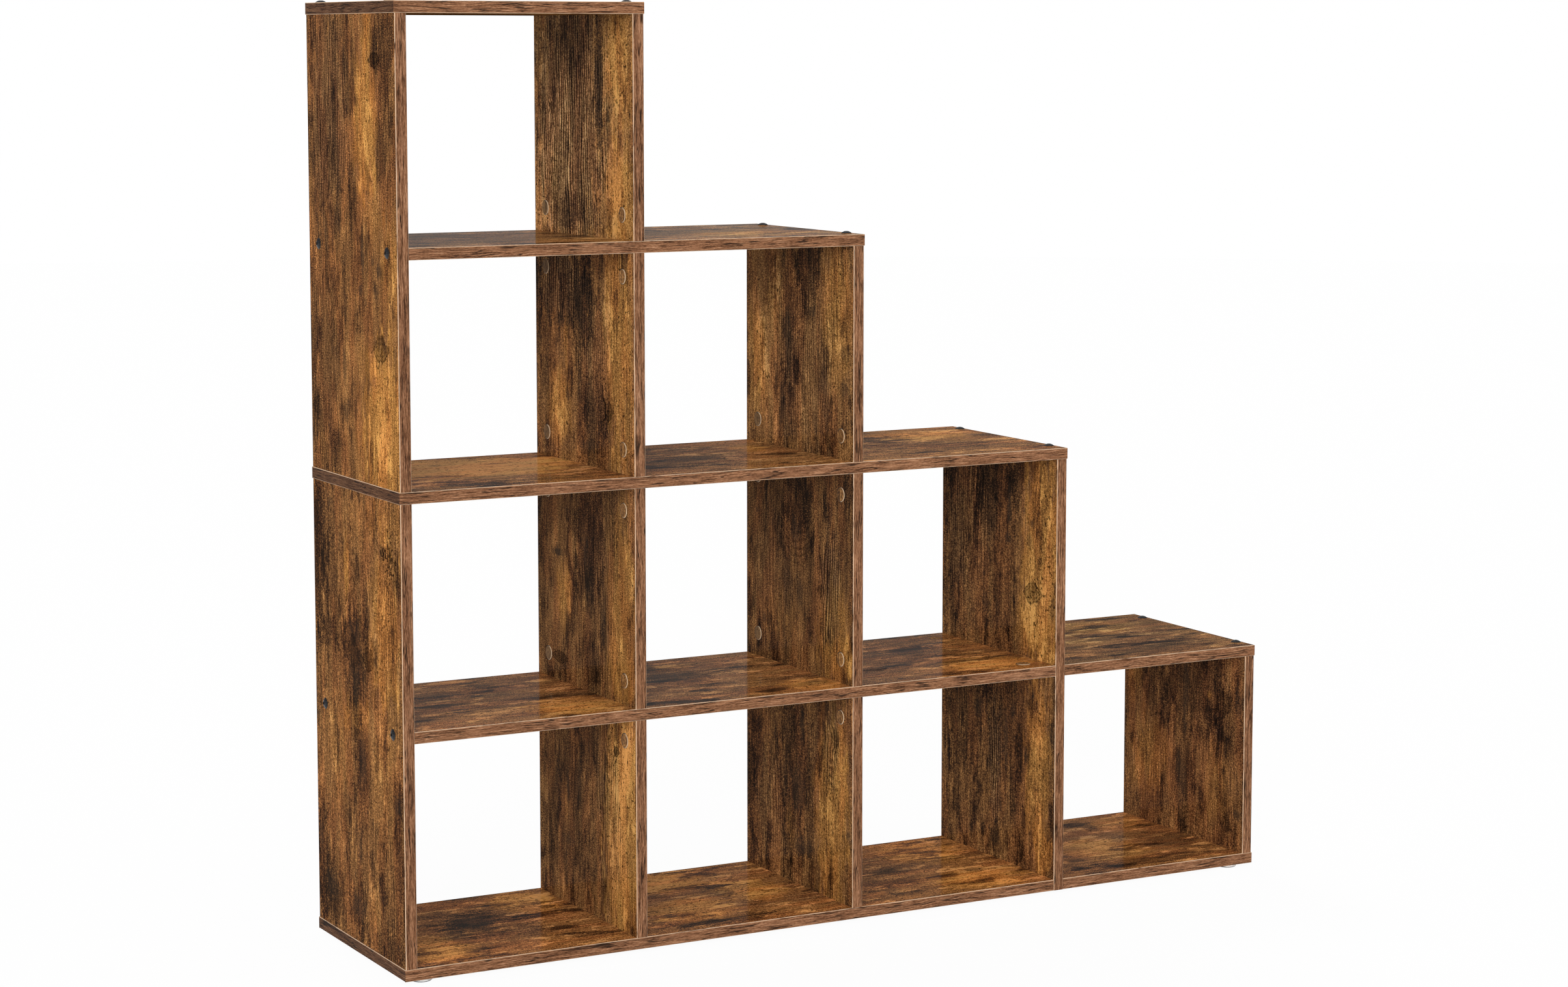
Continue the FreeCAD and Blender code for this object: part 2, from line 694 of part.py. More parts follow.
bolt = make_bolt()
fittings = [
    link_all("top_bolts", bolt, top_bolt_places),
    link_all("side_bolts", bolt, side_bolt_places),
    link_all("bottom_bolts", bolt, bottom_bolt_places),
    link_all("cam_locks", make_cam(), cam_places),
    link_all("cam_bolts", make_cam_bolt(), cam_bolt_places),
    link_all("wood_dowels", make_dowel(), dowel_places),
    link_all("cam_covers", make_cover(), cam_places),
    link_all("feet", make_foot(), foot_places),
    link_all("foot_nails", make_nail(), foot_places),
]

# Build, check and write every sub-part
doc.recompute()
failed = [item.Name for item in doc.Objects if "Invalid" in item.State or "Error" in item.State]
idle = [
    item.Name
    for item in doc.Objects
    if item.TypeId == "PartDesign::Pocket" and item.Shape.Volume >= item.BaseFeature.Shape.Volume
]
pieces = [board.body for board in (*shelves.values(), *uprights.values())] + edgings + fittings
broken = [piece.Label for piece in pieces if piece.Shape.isNull() or not piece.Shape.isValid()]
if failed or idle or broken:
    raise RuntimeError(f"failed features {failed}, cuts that miss {idle}, broken sub-parts {broken}")
os.makedirs("parts", exist_ok=True)
for piece in pieces:
    piece.Shape.exportStep(f"parts/{piece.Label}.step")
    print(piece.Label, len(piece.Shape.Solids), "solids")
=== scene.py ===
import math
import bmesh
import bpy
import numpy as np
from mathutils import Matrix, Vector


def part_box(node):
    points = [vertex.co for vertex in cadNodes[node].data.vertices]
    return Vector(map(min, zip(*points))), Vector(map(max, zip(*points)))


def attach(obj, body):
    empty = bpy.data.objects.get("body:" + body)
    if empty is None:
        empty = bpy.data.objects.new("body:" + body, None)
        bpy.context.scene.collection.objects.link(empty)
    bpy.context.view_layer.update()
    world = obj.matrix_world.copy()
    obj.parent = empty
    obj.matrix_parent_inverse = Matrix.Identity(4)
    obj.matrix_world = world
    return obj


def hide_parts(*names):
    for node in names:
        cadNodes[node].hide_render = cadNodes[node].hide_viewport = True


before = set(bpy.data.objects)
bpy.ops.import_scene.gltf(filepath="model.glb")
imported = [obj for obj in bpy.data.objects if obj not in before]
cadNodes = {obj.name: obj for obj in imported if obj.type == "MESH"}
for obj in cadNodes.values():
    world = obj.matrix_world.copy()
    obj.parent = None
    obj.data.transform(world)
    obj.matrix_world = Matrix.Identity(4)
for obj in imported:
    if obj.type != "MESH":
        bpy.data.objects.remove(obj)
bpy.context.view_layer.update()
print("frame loaded:", len(cadNodes), "nodes")

toMillimetres = 1000.0   # patterns and profiles are laid out in millimetres
toMetres = 0.001
midNoise = 0.5           # the middle of a noise's range
mergeWithin = 1e-7       # metres


# a socket that can be calculated with: every operation adds a Math node to its tree
class Field:
    def __init__(self, tree, socket):
        self.tree = tree
        self.socket = socket

    def math(self, operation, first, second=0.0):
        return addNode(self.tree, "ShaderNodeMath", {"operation": operation}, {0: first, 1: second})

    def __add__(self, other):
        return self.math("ADD", self, other)

    def __radd__(self, other):
        return self.math("ADD", other, self)

    def __sub__(self, other):
        return self.math("SUBTRACT", self, other)

    def __rsub__(self, other):
        return self.math("SUBTRACT", other, self)

    def __mul__(self, other):
        return self.math("MULTIPLY", self, other)

    def __rmul__(self, other):
        return self.math("MULTIPLY", other, self)

    def __truediv__(self, other):
        return self.math("DIVIDE", self, other)

    def __rtruediv__(self, other):
        return self.math("DIVIDE", other, self)

    def __gt__(self, other):
        return self.math("GREATER_THAN", self, other)

    def __abs__(self):
        return self.math("ABSOLUTE", self)


# any node: its settings first, then a value or a link for each socket
def addNode(tree, kind, settings, sockets, output=0):
    node = tree.nodes.new(kind)
    for name, value in settings.items():
        if name == "stops":
            ramp = node.color_ramp
            while len(ramp.elements) < len(value):
                ramp.elements.new(1.0)
            for element, (place, colour) in zip(ramp.elements, value):
                element.position = place
                element.color = opaque(colour)
        else:
            setattr(node, name, value)
    for key, value in sockets.items():
        if isinstance(value, Field):
            tree.links.new(value.socket, node.inputs[key])
        else:
            node.inputs[key].default_value = value
    return Field(tree, node.outputs[output]) if node.outputs else None


def opaque(colour):
    return (*colour, 1.0)


def vectorMath(field, operation, other):
    return addNode(field.tree, "ShaderNodeVectorMath", {"operation": operation}, {0: field, 1: other})


def scaled(field, factor):
    return addNode(field.tree, "ShaderNodeVectorMath", {"operation": "SCALE"}, {0: field, "Scale": factor})


def lengthOf(field):
    return addNode(field.tree, "ShaderNodeVectorMath", {"operation": "LENGTH"}, {0: field}, "Value")


def sineOf(field):
    return field.math("SINE", field)


def clamped(field, highest=1.0):
    return addNode(field.tree, "ShaderNodeClamp", {}, {0: field, 2: highest})


def smooth(field, start, end):   # 0 at start, 1 at end, start may be the larger
    return addNode(
        field.tree, "ShaderNodeMapRange", {"interpolation_type": "SMOOTHSTEP"},
        {"Value": field, "From Min": start, "From Max": end})


def noise(place, across, along, detail, roughness):   # grain lengths in millimetres
    stretched = vectorMath(place, "MULTIPLY", (1.0 / across, 1.0 / along, 1.0))
    return addNode(
        place.tree, "ShaderNodeTexNoise", {"noise_dimensions": "3D"},
        {"Vector": stretched, "Scale": 1.0, "Detail": detail, "Roughness": roughness})


def blend(factor, first, second):   # colour mix
    return addNode(
        factor.tree, "ShaderNodeMix", {"data_type": "RGBA"}, {"Factor": factor, 6: first, 7: second}, 2)


def rampOf(field, stops):
    return addNode(field.tree, "ShaderNodeValToRGB", {"stops": stops}, {"Fac": field})


def splitXyz(field):
    first = addNode(field.tree, "ShaderNodeSeparateXYZ", {}, {0: field})
    return [Field(field.tree, out) for out in first.socket.node.outputs]


def joinXyz(tree, x, y, z):
    return addNode(tree, "ShaderNodeCombineXYZ", {}, {0: x, 1: y, 2: z})


def newMaterial(name):
    material = bpy.data.materials.new(name)
    material.use_nodes = True
    material.node_tree.nodes.clear()
    return material, material.node_tree


def millimetres(tree):   # place on the piece
    return scaled(addNode(tree, "ShaderNodeTexCoord", {}, {}, "Object"), toMillimetres)


def normalOf(tree):
    return addNode(tree, "ShaderNodeNewGeometry", {}, {}, "Normal")


# largest part of a normal along the given axes, whichever way it points
def largestPart(normal, axes):
    parts = splitXyz(addNode(normal.tree, "ShaderNodeVectorMath", {"operation": "ABSOLUTE"}, {0: normal}))
    largest = parts[axes[0]]
    for axis in axes[1:]:
        largest = largest.math("MAXIMUM", largest, parts[axis])
    return largest


def bumpOf(height, strength, distance):
    return addNode(
        height.tree, "ShaderNodeBump", {}, {"Strength": strength, "Distance": distance, "Height": height})


def finishShader(tree, sockets):
    shader = addNode(tree, "ShaderNodeBsdfPrincipled", {}, sockets)
    addNode(tree, "ShaderNodeOutputMaterial", {}, {"Surface": shader})


def dress(piece, material):
    piece.data.materials.clear()
    piece.data.materials.append(material)


# quads between neighbouring rows and columns of a grid, closed round the second way
def gridFaces(rows, columns, start=0):
    row, column = np.meshgrid(np.arange(rows - 1), np.arange(columns), indexing="ij")
    following = (column + 1) % columns
    corner = row * columns
    quads = np.stack(
        [corner + column, corner + columns + column, corner + columns + following, corner + following], -1)
    return quads.reshape(-1, 4) + start


def meshPiece(name, points, faces, attributes={}):
    mesh = bpy.data.meshes.new(name)
    mesh.from_pydata(points.reshape(-1, 3).tolist(), [], faces.tolist())
    for label, values in attributes.items():
        mesh.attributes.new(label, "FLOAT", "POINT").data.foreach_set("value", values.astype(np.float32))
    work = bmesh.new()
    work.from_mesh(mesh)
    bmesh.ops.remove_doubles(work, verts=work.verts, dist=mergeWithin)   # closes the poles
    bmesh.ops.recalc_face_normals(work, faces=work.faces)
    work.to_mesh(mesh)
    work.free()
    mesh.polygons.foreach_set("use_smooth", np.ones(len(mesh.polygons), bool))
    piece = bpy.data.objects.new(name, mesh)
    bpy.context.scene.collection.objects.link(piece)
    return piece


# printed wood laminate on the boards
woodLook = {
    "tones": [
        (0.00, (0.0136, 0.0072, 0.0038)), (0.20, (0.052, 0.0246, 0.0106)),
        (0.40, (0.128, 0.0605, 0.0228)), (0.60, (0.247, 0.118, 0.041)),
        (0.80, (0.425, 0.213, 0.071)), (1.00, (0.675, 0.378, 0.143)),
    ],
    "red": (1.08, 0.95, 0.93),       # warmer patches of the same print
    "gold": (1.0, 0.96, 0.74),       # the golden zones
    "grey": (0.96, 1.05, 1.28),      # the lined zones are greyer
    "stain": (0.030, 0.021, 0.014),
    "stainShare": 0.84,
    # noises: millimetres across and along the grain, detail, roughness
    "noises": {
        "cloud": (40.0, 240.0, 3.0, 0.55),
        "blotch": (12.0, 40.0, 4.0, 0.65),
        "drift": (55.0, 170.0, 2.0, 0.5),
        "fibre": (2.8, 80.0, 3.0, 0.65),
        "hair": (1.7, 34.0, 2.0, 0.6),
        "stipple": (2.4, 1.8, 2.0, 0.7),
        "flake": (20.0, 62.0, 6.0, 0.68),
        "gap": (7.0, 60.0, 2.0, 0.5),      # breaks in the lined zones
        "pore": (1.8, 14.0, 1.0, 0.5),
        "speck": (3.8, 6.0, 2.0, 0.6),
        "stray": (9.0, 34.0, 3.0, 0.6),    # small stray stains
        "redder": (26.0, 120.0, 2.0, 0.5),
    },
    # values between which each mark fades in
    "fades": {
        "flake": (0.545, 0.60), "flakeTone": (0.4, 0.7), "shade": (0.54, 0.64), "golden": (0.5, 0.75),
        "reedCloud": (0.0, -0.16), "reed": (0.0, 0.8), "gap": (0.15, 0.5), "pore": (0.62, 0.72),
        "speck": (0.665, 0.70), "stray": (0.65, 0.74), "redder": (0.42, 0.62), "gold": (0.02, 0.2),
        "grey": (0.2, 0.9), "upward": (-0.5, 0.5),
    },
    # how far each noise moves the tone
    "moves": {"cloud": 0.56, "blotch": 0.44, "fibre": 0.66, "hair": 0.7, "stipple": 1.6},
    # a spot fades in from spotStart, where 1 is its outline, and is full at its kind's distance;
    # half of each golden zone ends sharply
    "spotStart": 1.2,
    "spotFull": {
        "sharpLight": 1.02, "softLight": 0.3, "dark": 0.6, "reed": 0.7, "burn": 0.4, "stain": 0.45,
    },
    "raggedBlotch": 2.2,
    "raggedStipple": 0.8,
    "flake": 0.26,          # crisp golden and dark patches of the distressed print
    "flakeBase": 0.3,       # their strength outside the golden zones
    "shadeLayer": 5.3,      # layer of the noise of the dark patches
    "driftBy": 30.0,        # millimetres that the growth lines wander
    "reedPitch": 6.2,
    "reedBase": 0.06,       # faint lines everywhere, more in dark clouds
    "reedCloud": 0.22,
    "reedFibre": 2.0,
    "speckGolden": 0.06,    # specks crowd on golden and burnt zones
    "speckBurnt": 0.16,
    "marks": {"reed": 0.95, "pores": 0.4, "specks": 0.8, "most": 0.92},
    "knot": {
        "blotch": 1.6, "stipple": 0.5, "core": (1.1, 0.8), "rim": (0.2, 0.04), "around": (2.4, 0.4),
        "ring": (0.2, 1.0), "ringWaves": 15.0, "coreShare": 0.6, "rimShare": 0.45, "ringShare": 0.4,
        "bend": (3.0, 0.6), "bendBy": 6.0,
    },
    "arch": {
        "hollow": 0.8, "sides": (1.5, 0.8), "foot": (-0.9, -0.2), "tip": (1.3, 0.6), "line": (0.0, 1.0),
        "waves": 24.0, "wander": 9.0, "share": 0.35,
    },
    "roughness": 0.45, "roughBlotch": 0.12, "roughMarks": 0.15,
    "glossRoughness": 0.11, "glossBlotch": 0.6, "glossMarks": 0.5,
    "bumpFibre": 0.5, "bump": 0.12, "bumpDepth": 0.0003,
    # fine marks, patches, noise of the dark patches, stray stains and clear top layer,
    # on shelves and on uprights
    "lying": {
        "calm": 0.95, "patches": 2.0, "shade": (36.0, 115.0, 6.0, 0.6), "shadeShare": 0.8,
        "stray": 0.4, "gloss": 0.33,
    },
    "standing": {
        "calm": 1.0, "patches": 1.05, "shade": (24.0, 74.0, 6.0, 0.66), "shadeShare": 1.0,
        "stray": 0.7, "gloss": 0.04,
    },
    "faceLayer": 37.0,      # each face and each board has its own layer of the noises
    "seedLayer": 11.3,
}
# spots, knots among them, are (across from the front, along, half across, half along, amount),
# and arches (across, along, half across, height, way), in millimetres;
# along runs down from an upright's top, or from a shelf's left end
boardPrints = {
    "left_side_upper": {
        "seed": 3, "tone": 0.47, "tint": (1.02, 0.95, 0.88),
        "light": [
            (100, 130, 40, 85, 0.23), (88, 28, 14, 50, 0.19), (80, 235, 36, 50, 0.1),
            (40, 505, 70, 95, 0.26), (105, 530, 50, 60, 0.1), (20, 310, 36, 70, 0.14),
            (255, 545, 26, 30, 0.1), (110, 425, 40, 30, 0.09),
        ],
        "dark": [
            (32, 45, 34, 62, 0.2), (48, 165, 20, 50, 0.2), (145, 225, 15, 36, 0.18),
            (275, 440, 24, 150, 0.1), (205, 545, 20, 36, 0.18), (195, 120, 12, 130, 0.14),
            (150, 75, 22, 60, 0.1), (240, 300, 50, 250, 0.05),
        ],
        "stain": [
            (112, 295, 6, 26, 0.75), (120, 338, 8, 9, 0.7), (60, 312, 9, 12, 0.7),
            (178, 440, 8, 26, 0.5), (172, 492, 9, 20, 0.5), (80, 300, 4, 6, 0.6),
            (68, 338, 10, 14, 0.5), (8, 420, 8, 26, 0.5),
        ],
        "knot": [(67, 56, 21, 10, 0.8), (55, 407, 26, 15, 0.7)],
        "arch": [(221, 205, 22, 95, 1), (221, 395, 22, 80, -1)],
        "reed": [(220, 120, 75, 160, 0.6), (245, 420, 60, 170, 0.4)],
    },
    "left_side_lower": {
        "seed": 8, "tone": 0.43, "tint": (1.02, 0.96, 0.9),
        "light": [
            (50, 150, 50, 100, 0.19), (35, 30, 60, 40, 0.12), (195, 150, 30, 60, 0.07),
            (150, 285, 44, 26, 0.14), (60, 330, 50, 120, 0.09), (215, 330, 40, 80, 0.09),
            (100, 520, 20, 50, 0.09), (180, 100, 8, 40, 0.14), (140, 40, 60, 40, 0.07),
        ],
        "dark": [
            (282, 90, 34, 110, 0.24), (157, 215, 48, 82, 0.14), (250, 190, 36, 22, 0.16),
            (275, 500, 30, 90, 0.2), (240, 540, 50, 34, 0.16), (125, 345, 26, 60, 0.12),
            (85, 310, 10, 40, 0.12), (20, 380, 16, 50, 0.14), (150, 530, 40, 34, 0.12),
            (60, 560, 90, 20, 0.12),
        ],
        "stain": [
            (157, 215, 28, 60, 0.45), (135, 340, 12, 42, 0.5), (150, 450, 12, 28, 0.55),
            (152, 530, 26, 18, 0.55), (283, 465, 7, 24, 0.6), (245, 520, 22, 22, 0.45),
            (240, 20, 12, 12, 0.3), (18, 375, 16, 16, 0.5), (285, 305, 10, 8, 0.6),
            (60, 66, 16, 9, 0.6),
        ],
        "knot": [(110, 207, 22, 13, 0.6), (160, 205, 18, 24, 0.5)],
        "burn": [(34, 72, 22, 36, 1.0), (62, 66, 18, 10, 0.9)],
        "arch": [(160, 90, 20, 60, 1)],
        "reed": [(40, 250, 50, 300, 0.25), (120, 480, 40, 90, 0.3)],
    },
    "first_divider_row_1": {
        "seed": 15, "tone": 0.61,
        "light": [
            (40, 60, 42, 90, 0.19), (38, 230, 42, 70, 0.2), (230, 215, 22, 60, 0.09),
            (280, 200, 14, 80, 0.06),
        ],
        "dark": [
            (97, 95, 15, 95, 0.26), (8, 140, 9, 150, 0.14), (190, 250, 46, 24, 0.2),
            (180, 40, 60, 40, 0.08),
        ],
        "stain": [
            (64, 114, 14, 20, 0.6), (70, 150, 8, 26, 0.4), (95, 80, 8, 70, 0.4),
            (178, 258, 14, 14, 0.4),
        ],
        "knot": [(238, 117, 9, 6, 0.7)],
        "arch": [(235, 150, 18, 60, 1)],
        "reed": [(185, 140, 110, 180, 1.0)],
    },
    "first_divider_row_2": {
        "seed": 21, "tone": 0.47,
        "light": [(42, 120, 40, 170, 0.21), (222, 212, 38, 48, 0.18), (200, 120, 8, 40, 0.13)],
        "dark": [(150, 70, 44, 70, 0.2), (130, 230, 50, 80, 0.16), (285, 80, 12, 80, 0.12)],
        "stain": [
            (155, 75, 26, 44, 0.35), (220, 98, 22, 11, 0.6), (225, 130, 8, 22, 0.5),
            (140, 258, 26, 12, 0.5),
        ],
        "knot": [(75, 204, 15, 12, 0.6)],
        "arch": [(82, 175, 12, 50, 1)],
        "reed": [(215, 50, 80, 50, 0.8), (120, 150, 50, 120, 0.5)],
    },
    "first_divider_row_3": {
        "seed": 27, "tone": 0.41,
        "light": [
            (40, 150, 42, 130, 0.19), (211, 160, 24, 46, 0.18), (50, 240, 44, 40, 0.12),
            (150, 200, 8, 60, 0.09),
        ],
        "dark": [(135, 90, 46, 80, 0.2), (130, 240, 40, 40, 0.16), (285, 120, 12, 90, 0.12)],
        "stain": [
            (148, 85, 10, 30, 0.5), (94, 180, 8, 32, 0.6), (232, 108, 10, 10, 0.7),
            (226, 110, 22, 5, 0.5), (140, 150, 14, 60, 0.3),
        ],
        "knot": [(226, 249, 25, 8, 0.75)],
        "arch": [(60, 70, 18, 50, -1)],
        "reed": [(110, 150, 60, 150, 0.4)],
    },
    "first_divider_row_4": {
        "seed": 33, "tone": 0.44,
        "light": [(44, 130, 50, 170, 0.34), (20, 60, 20, 60, 0.14), (210, 150, 10, 30, 0.09)],
        "dark": [(215, 150, 80, 110, 0.14), (140, 60, 30, 60, 0.16)],
        "stain": [
            (203, 126, 5, 30, 0.6), (170, 110, 10, 40, 0.3), (200, 195, 20, 8, 0.4),
            (235, 120, 8, 50, 0.3),
        ],
        "knot": [(56, 50, 10, 6, 0.75)],
        "arch": [(80, 80, 22, 70, -1), (105, 160, 14, 60, 1)],
        "reed": [(80, 150, 40, 150, 0.5)],
    },
    "second_divider_row_2": {
        "seed": 41, "tone": 0.48,
        "light": [
            (45, 90, 40, 100, 0.16), (262, 170, 26, 80, 0.16), (215, 85, 20, 60, 0.09),
            (120, 240, 60, 40, 0.06),
        ],
        "dark": [(120, 40, 36, 50, 0.2), (165, 120, 30, 80, 0.12)],
        "stain": [
            (180, 120, 12, 30, 0.6), (192, 225, 12, 36, 0.6), (210, 180, 6, 22, 0.5),
            (107, 90, 11, 9, 0.6), (22, 140, 14, 12, 0.5), (20, 187, 14, 14, 0.6),
            (292, 173, 8, 6, 0.7), (85, 190, 8, 12, 0.4),
        ],
        "arch": [(215, 48, 24, 55, 1)],
        "reed": [(130, 150, 90, 160, 0.42)],
    },
    "second_divider_row_3": {
        "seed": 47, "tone": 0.36,
        "light": [(50, 220, 44, 70, 0.21), (12, 240, 10, 30, 0.24), (190, 220, 60, 40, 0.1)],
        "dark": [(145, 55, 50, 40, 0.2), (285, 205, 14, 30, 0.2)],
        "stain": [
            (155, 96, 15, 24, 0.6), (143, 176, 10, 30, 0.55), (262, 78, 5, 5, 0.6),
            (242, 225, 5, 8, 0.6),
        ],
        "knot": [(85, 165, 10, 8, 0.4)],
        "arch": [(150, 120, 50, 40, -1)],
        "reed": [(60, 160, 30, 90, 0.8), (220, 150, 70, 120, 0.35)],
    },
    "second_divider_row_4": {
        "seed": 52, "tone": 0.39,
        "light": [(55, 160, 44, 130, 0.25), (170, 200, 14, 40, 0.15), (25, 110, 14, 30, 0.15)],
        "dark": [(150, 130, 50, 130, 0.14), (285, 150, 16, 80, 0.2)],
        "stain": [
            (150, 150, 22, 40, 0.5), (130, 225, 30, 18, 0.6), (137, 60, 8, 30, 0.5),
            (10, 186, 9, 7, 0.7),
        ],
        "knot": [(45, 62, 8, 14, 0.5)],
        "arch": [(60, 110, 20, 40, 1)],
        "reed": [(55, 70, 20, 60, 0.7), (220, 180, 60, 90, 0.4)],
    },
    "tall_divider": {
        "seed": 58, "tone": 0.375,
        "light": [
            (36, 140, 42, 160, 0.36), (70, 230, 34, 50, 0.18), (45, 420, 34, 110, 0.26),
            (28, 540, 24, 40, 0.25), (250, 120, 20, 80, 0.06), (160, 470, 30, 60, 0.06),
        ],
        "dark": [(150, 60, 60, 60, 0.12), (95, 40, 14, 50, 0.2), (230, 380, 60, 90, 0.12)],
        "stain": [
            (117, 78, 6, 28, 0.75), (120, 122, 8, 9, 0.7), (60, 95, 6, 9, 0.8), (80, 80, 4, 6, 0.7),
            (68, 118, 10, 12, 0.5), (180, 216, 8, 18, 0.5), (8, 205, 8, 22, 0.5),
            (122, 405, 7, 42, 0.65), (72, 418, 6, 18, 0.75), (5, 380, 10, 18, 0.6),
            (190, 370, 20, 16, 0.5), (15, 512, 14, 14, 0.6), (105, 360, 6, 14, 0.5),
            (152, 545, 16, 14, 0.5),
        ],
        "knot": [(57, 190, 25, 14, 0.75)],
        "arch": [(221, 165, 22, 70, -1)],
        "reed": [(220, 120, 70, 130, 0.4), (150, 440, 20, 90, 0.7)],
    },
    "right_side": {
        "seed": 64, "tone": 0.42, "tint": (1.03, 0.97, 0.97),
        "light": [
            (230, 180, 50, 60, 0.16), (60, 190, 30, 60, 0.14), (82, 68, 6, 7, 0.21),
            (270, 60, 24, 60, 0.14),
        ],
        "dark": [(120, 60, 90, 70, 0.16), (140, 180, 26, 60, 0.14), (40, 110, 40, 60, 0.1)],
        "stain": [
            (140, 75, 8, 60, 0.6), (150, 205, 13, 52, 0.55), (10, 70, 10, 24, 0.5),
            (12, 228, 14, 8, 0.7),
        ],
        "knot": [(50, 75, 16, 22, 0.4)],
        "arch": [(120, 250, 40, 30, 1)],
        "reed": [(50, 90, 26, 80, 0.3)],
    },
    "top_panel": {
        "seed": 70, "tone": 0.45,
        "light": [(90, 120, 50, 120, 0.18), (220, 240, 40, 70, 0.18)],
        "dark": [(170, 180, 40, 90, 0.16)],
        "stain": [(150, 90, 10, 40, 0.6), (60, 220, 14, 26, 0.5), (240, 120, 10, 30, 0.5)],
        "knot": [(110, 250, 11, 20, 0.7)],
        "arch": [(200, 60, 26, 80, 1)],
        "reed": [(150, 160, 120, 150, 0.5)],
    },
    # the shelves, the bottom panel and the end cube's bottom have lighter tones than the uprights, partly
    # painted light on their tops
    "upper_shelf": {
        "seed": 75, "tone": 0.5, "gloss": 0.75,
        "light": [(90, 510, 50, 70, 0.25), (60, 260, 60, 60, 0.12)],
        "dark": [(190, 120, 80, 90, 0.12)],
        "stain": [(200, 110, 20, 40, 0.4), (40, 590, 20, 30, 0.4)],
        "knot": [(40, 150, 8, 14, 0.6)],
        "reed": [(150, 400, 140, 260, 0.4)],
    },
    "middle_shelf": {
        "seed": 81, "tone": 0.57, "tint": (1.04, 0.93, 0.84), "gloss": 1.1,
        "light": [
            (190, 160, 100, 130, 0.52), (210, 300, 30, 30, 0.23), (215, 860, 60, 70, 0.23),
            (200, 580, 30, 26, 0.32),
        ],
        "dark": [(120, 420, 60, 90, 0.14), (90, 790, 60, 120, 0.1)],
        "stain": [
            (80, 150, 30, 60, 0.6), (222, 140, 8, 10, 0.7), (230, 490, 24, 20, 0.6),
            (130, 480, 26, 70, 0.5), (190, 760, 14, 26, 0.5), (235, 865, 20, 10, 0.5),
        ],
        "knot": [(100, 330, 10, 18, 0.6)],
        "reed": [(150, 460, 140, 480, 0.5)],
    },
    "lower_shelf": {
        "seed": 86, "tone": 0.57, "tint": (1.05, 0.92, 0.82), "gloss": 1.6,
        "light": [
            (60, 245, 50, 60, 0.33), (40, 580, 40, 40, 0.28), (60, 860, 50, 60, 0.28),
            (230, 460, 26, 40, 0.16),
        ],
        "dark": [(170, 440, 60, 60, 0.16), (190, 800, 50, 60, 0.14)],
        "stain": [
            (175, 100, 22, 36, 0.6), (172, 180, 14, 32, 0.6), (170, 430, 30, 50, 0.55),
            (60, 590, 10, 20, 0.6), (190, 810, 22, 36, 0.5), (100, 900, 10, 30, 0.4),
        ],
        "knot": [(90, 700, 10, 18, 0.6)],
        "reed": [(150, 460, 140, 480, 0.5)],
    },
    "bottom_panel": {
        "seed": 92, "tone": 0.595, "tint": (1.06, 0.9, 0.78), "gloss": 1.0,
        "light": [
            (70, 60, 60, 50, 0.34), (230, 260, 50, 40, 0.35), (240, 460, 46, 60, 0.34),
            (90, 440, 60, 60, 0.24), (150, 560, 60, 40, 0.24), (220, 860, 60, 60, 0.24),
            (60, 860, 50, 70, 0.22),
        ],
        "dark": [(160, 170, 60, 60, 0.2), (30, 440, 26, 90, 0.26), (90, 740, 60, 50, 0.14)],
        "stain": [
            (170, 165, 44, 42, 0.65), (120, 120, 40, 20, 0.5), (30, 110, 26, 20, 0.5),
            (180, 430, 12, 16, 0.7), (150, 515, 14, 22, 0.6), (80, 400, 10, 16, 0.7),
            (250, 510, 14, 16, 0.5), (100, 880, 14, 20, 0.6), (45, 720, 14, 16, 0.6),
            (150, 780, 16, 40, 0.5),
        ],
        "knot": [(200, 280, 8, 12, 0.7)],
        "reed": [(150, 460, 140, 480, 0.4)],
    },
    "end_cube_top": {
        "seed": 97, "tone": 0.48,
        "light": [(220, 180, 50, 90, 0.18), (130, 120, 40, 40, 0.12)],
        "dark": [(60, 180, 50, 100, 0.12)],
        "stain": [
            (135, 145, 12, 26, 0.5), (105, 215, 8, 10, 0.6), (105, 262, 9, 8, 0.6),
            (100, 90, 10, 14, 0.5),
        ],
        "reed": [(150, 160, 140, 150, 0.5)],
    },
    "end_cube_bottom": {
        "seed": 103, "tone": 0.57, "tint": (1.06, 0.91, 0.82), "gloss": 1.1,
        "light": [(110, 140, 60, 60, 0.28), (230, 240, 40, 50, 0.2)],
        "dark": [(30, 150, 26, 110, 0.24), (120, 260, 60, 40, 0.14)],
        "stain": [
            (100, 70, 10, 12, 0.7), (75, 75, 8, 16, 0.7), (240, 200, 40, 12, 0.6),
            (160, 200, 20, 16, 0.5),
        ],
        "reed": [(150, 160, 140, 150, 0.5)],
    },
}
liesFlat = {
    "top_panel", "upper_shelf", "middle_shelf", "lower_shelf", "bottom_panel",
    "end_cube_top", "end_cube_bottom",
}


def woodNoise(place, name):
    return noise(place, *woodLook["noises"][name])


def woodFade(field, name):
    return smooth(field, *woodLook["fades"][name])


# a board's own print coordinates: across from the front edge, along the grain, and one layer for each face
def printPlace(tree, board, flat, seed):
    low, high = (np.array(corner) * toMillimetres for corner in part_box(board))
    x, y, z = splitXyz(millimetres(tree))
    across = y - low[1]
    thick = z if flat else x
    axis = 2 if flat else 0
    along = x - low[0] if flat else high[2] - z
    length = high[0] - low[0] if flat else high[2] - low[2]
    middle = 0.5 * (low[axis] + high[axis])
    far = (middle - thick if flat else thick - middle) > 0.0   # the underside, or the right face
    along = along + far * (length - 2.0 * along)
    layer = far * woodLook["faceLayer"] + seed * woodLook["seedLayer"]
    return across, along, joinXyz(tree, across, along, layer)


# place from a spot's middle, in its half widths
def fromSpot(place, spot):
    across, along, halfAcross, halfAlong = spot[:4]
    away = vectorMath(place, "SUBTRACT", (across, along, 0.0))
    return vectorMath(away, "MULTIPLY", (1.0 / halfAcross, 1.0 / halfAlong, 0.0))


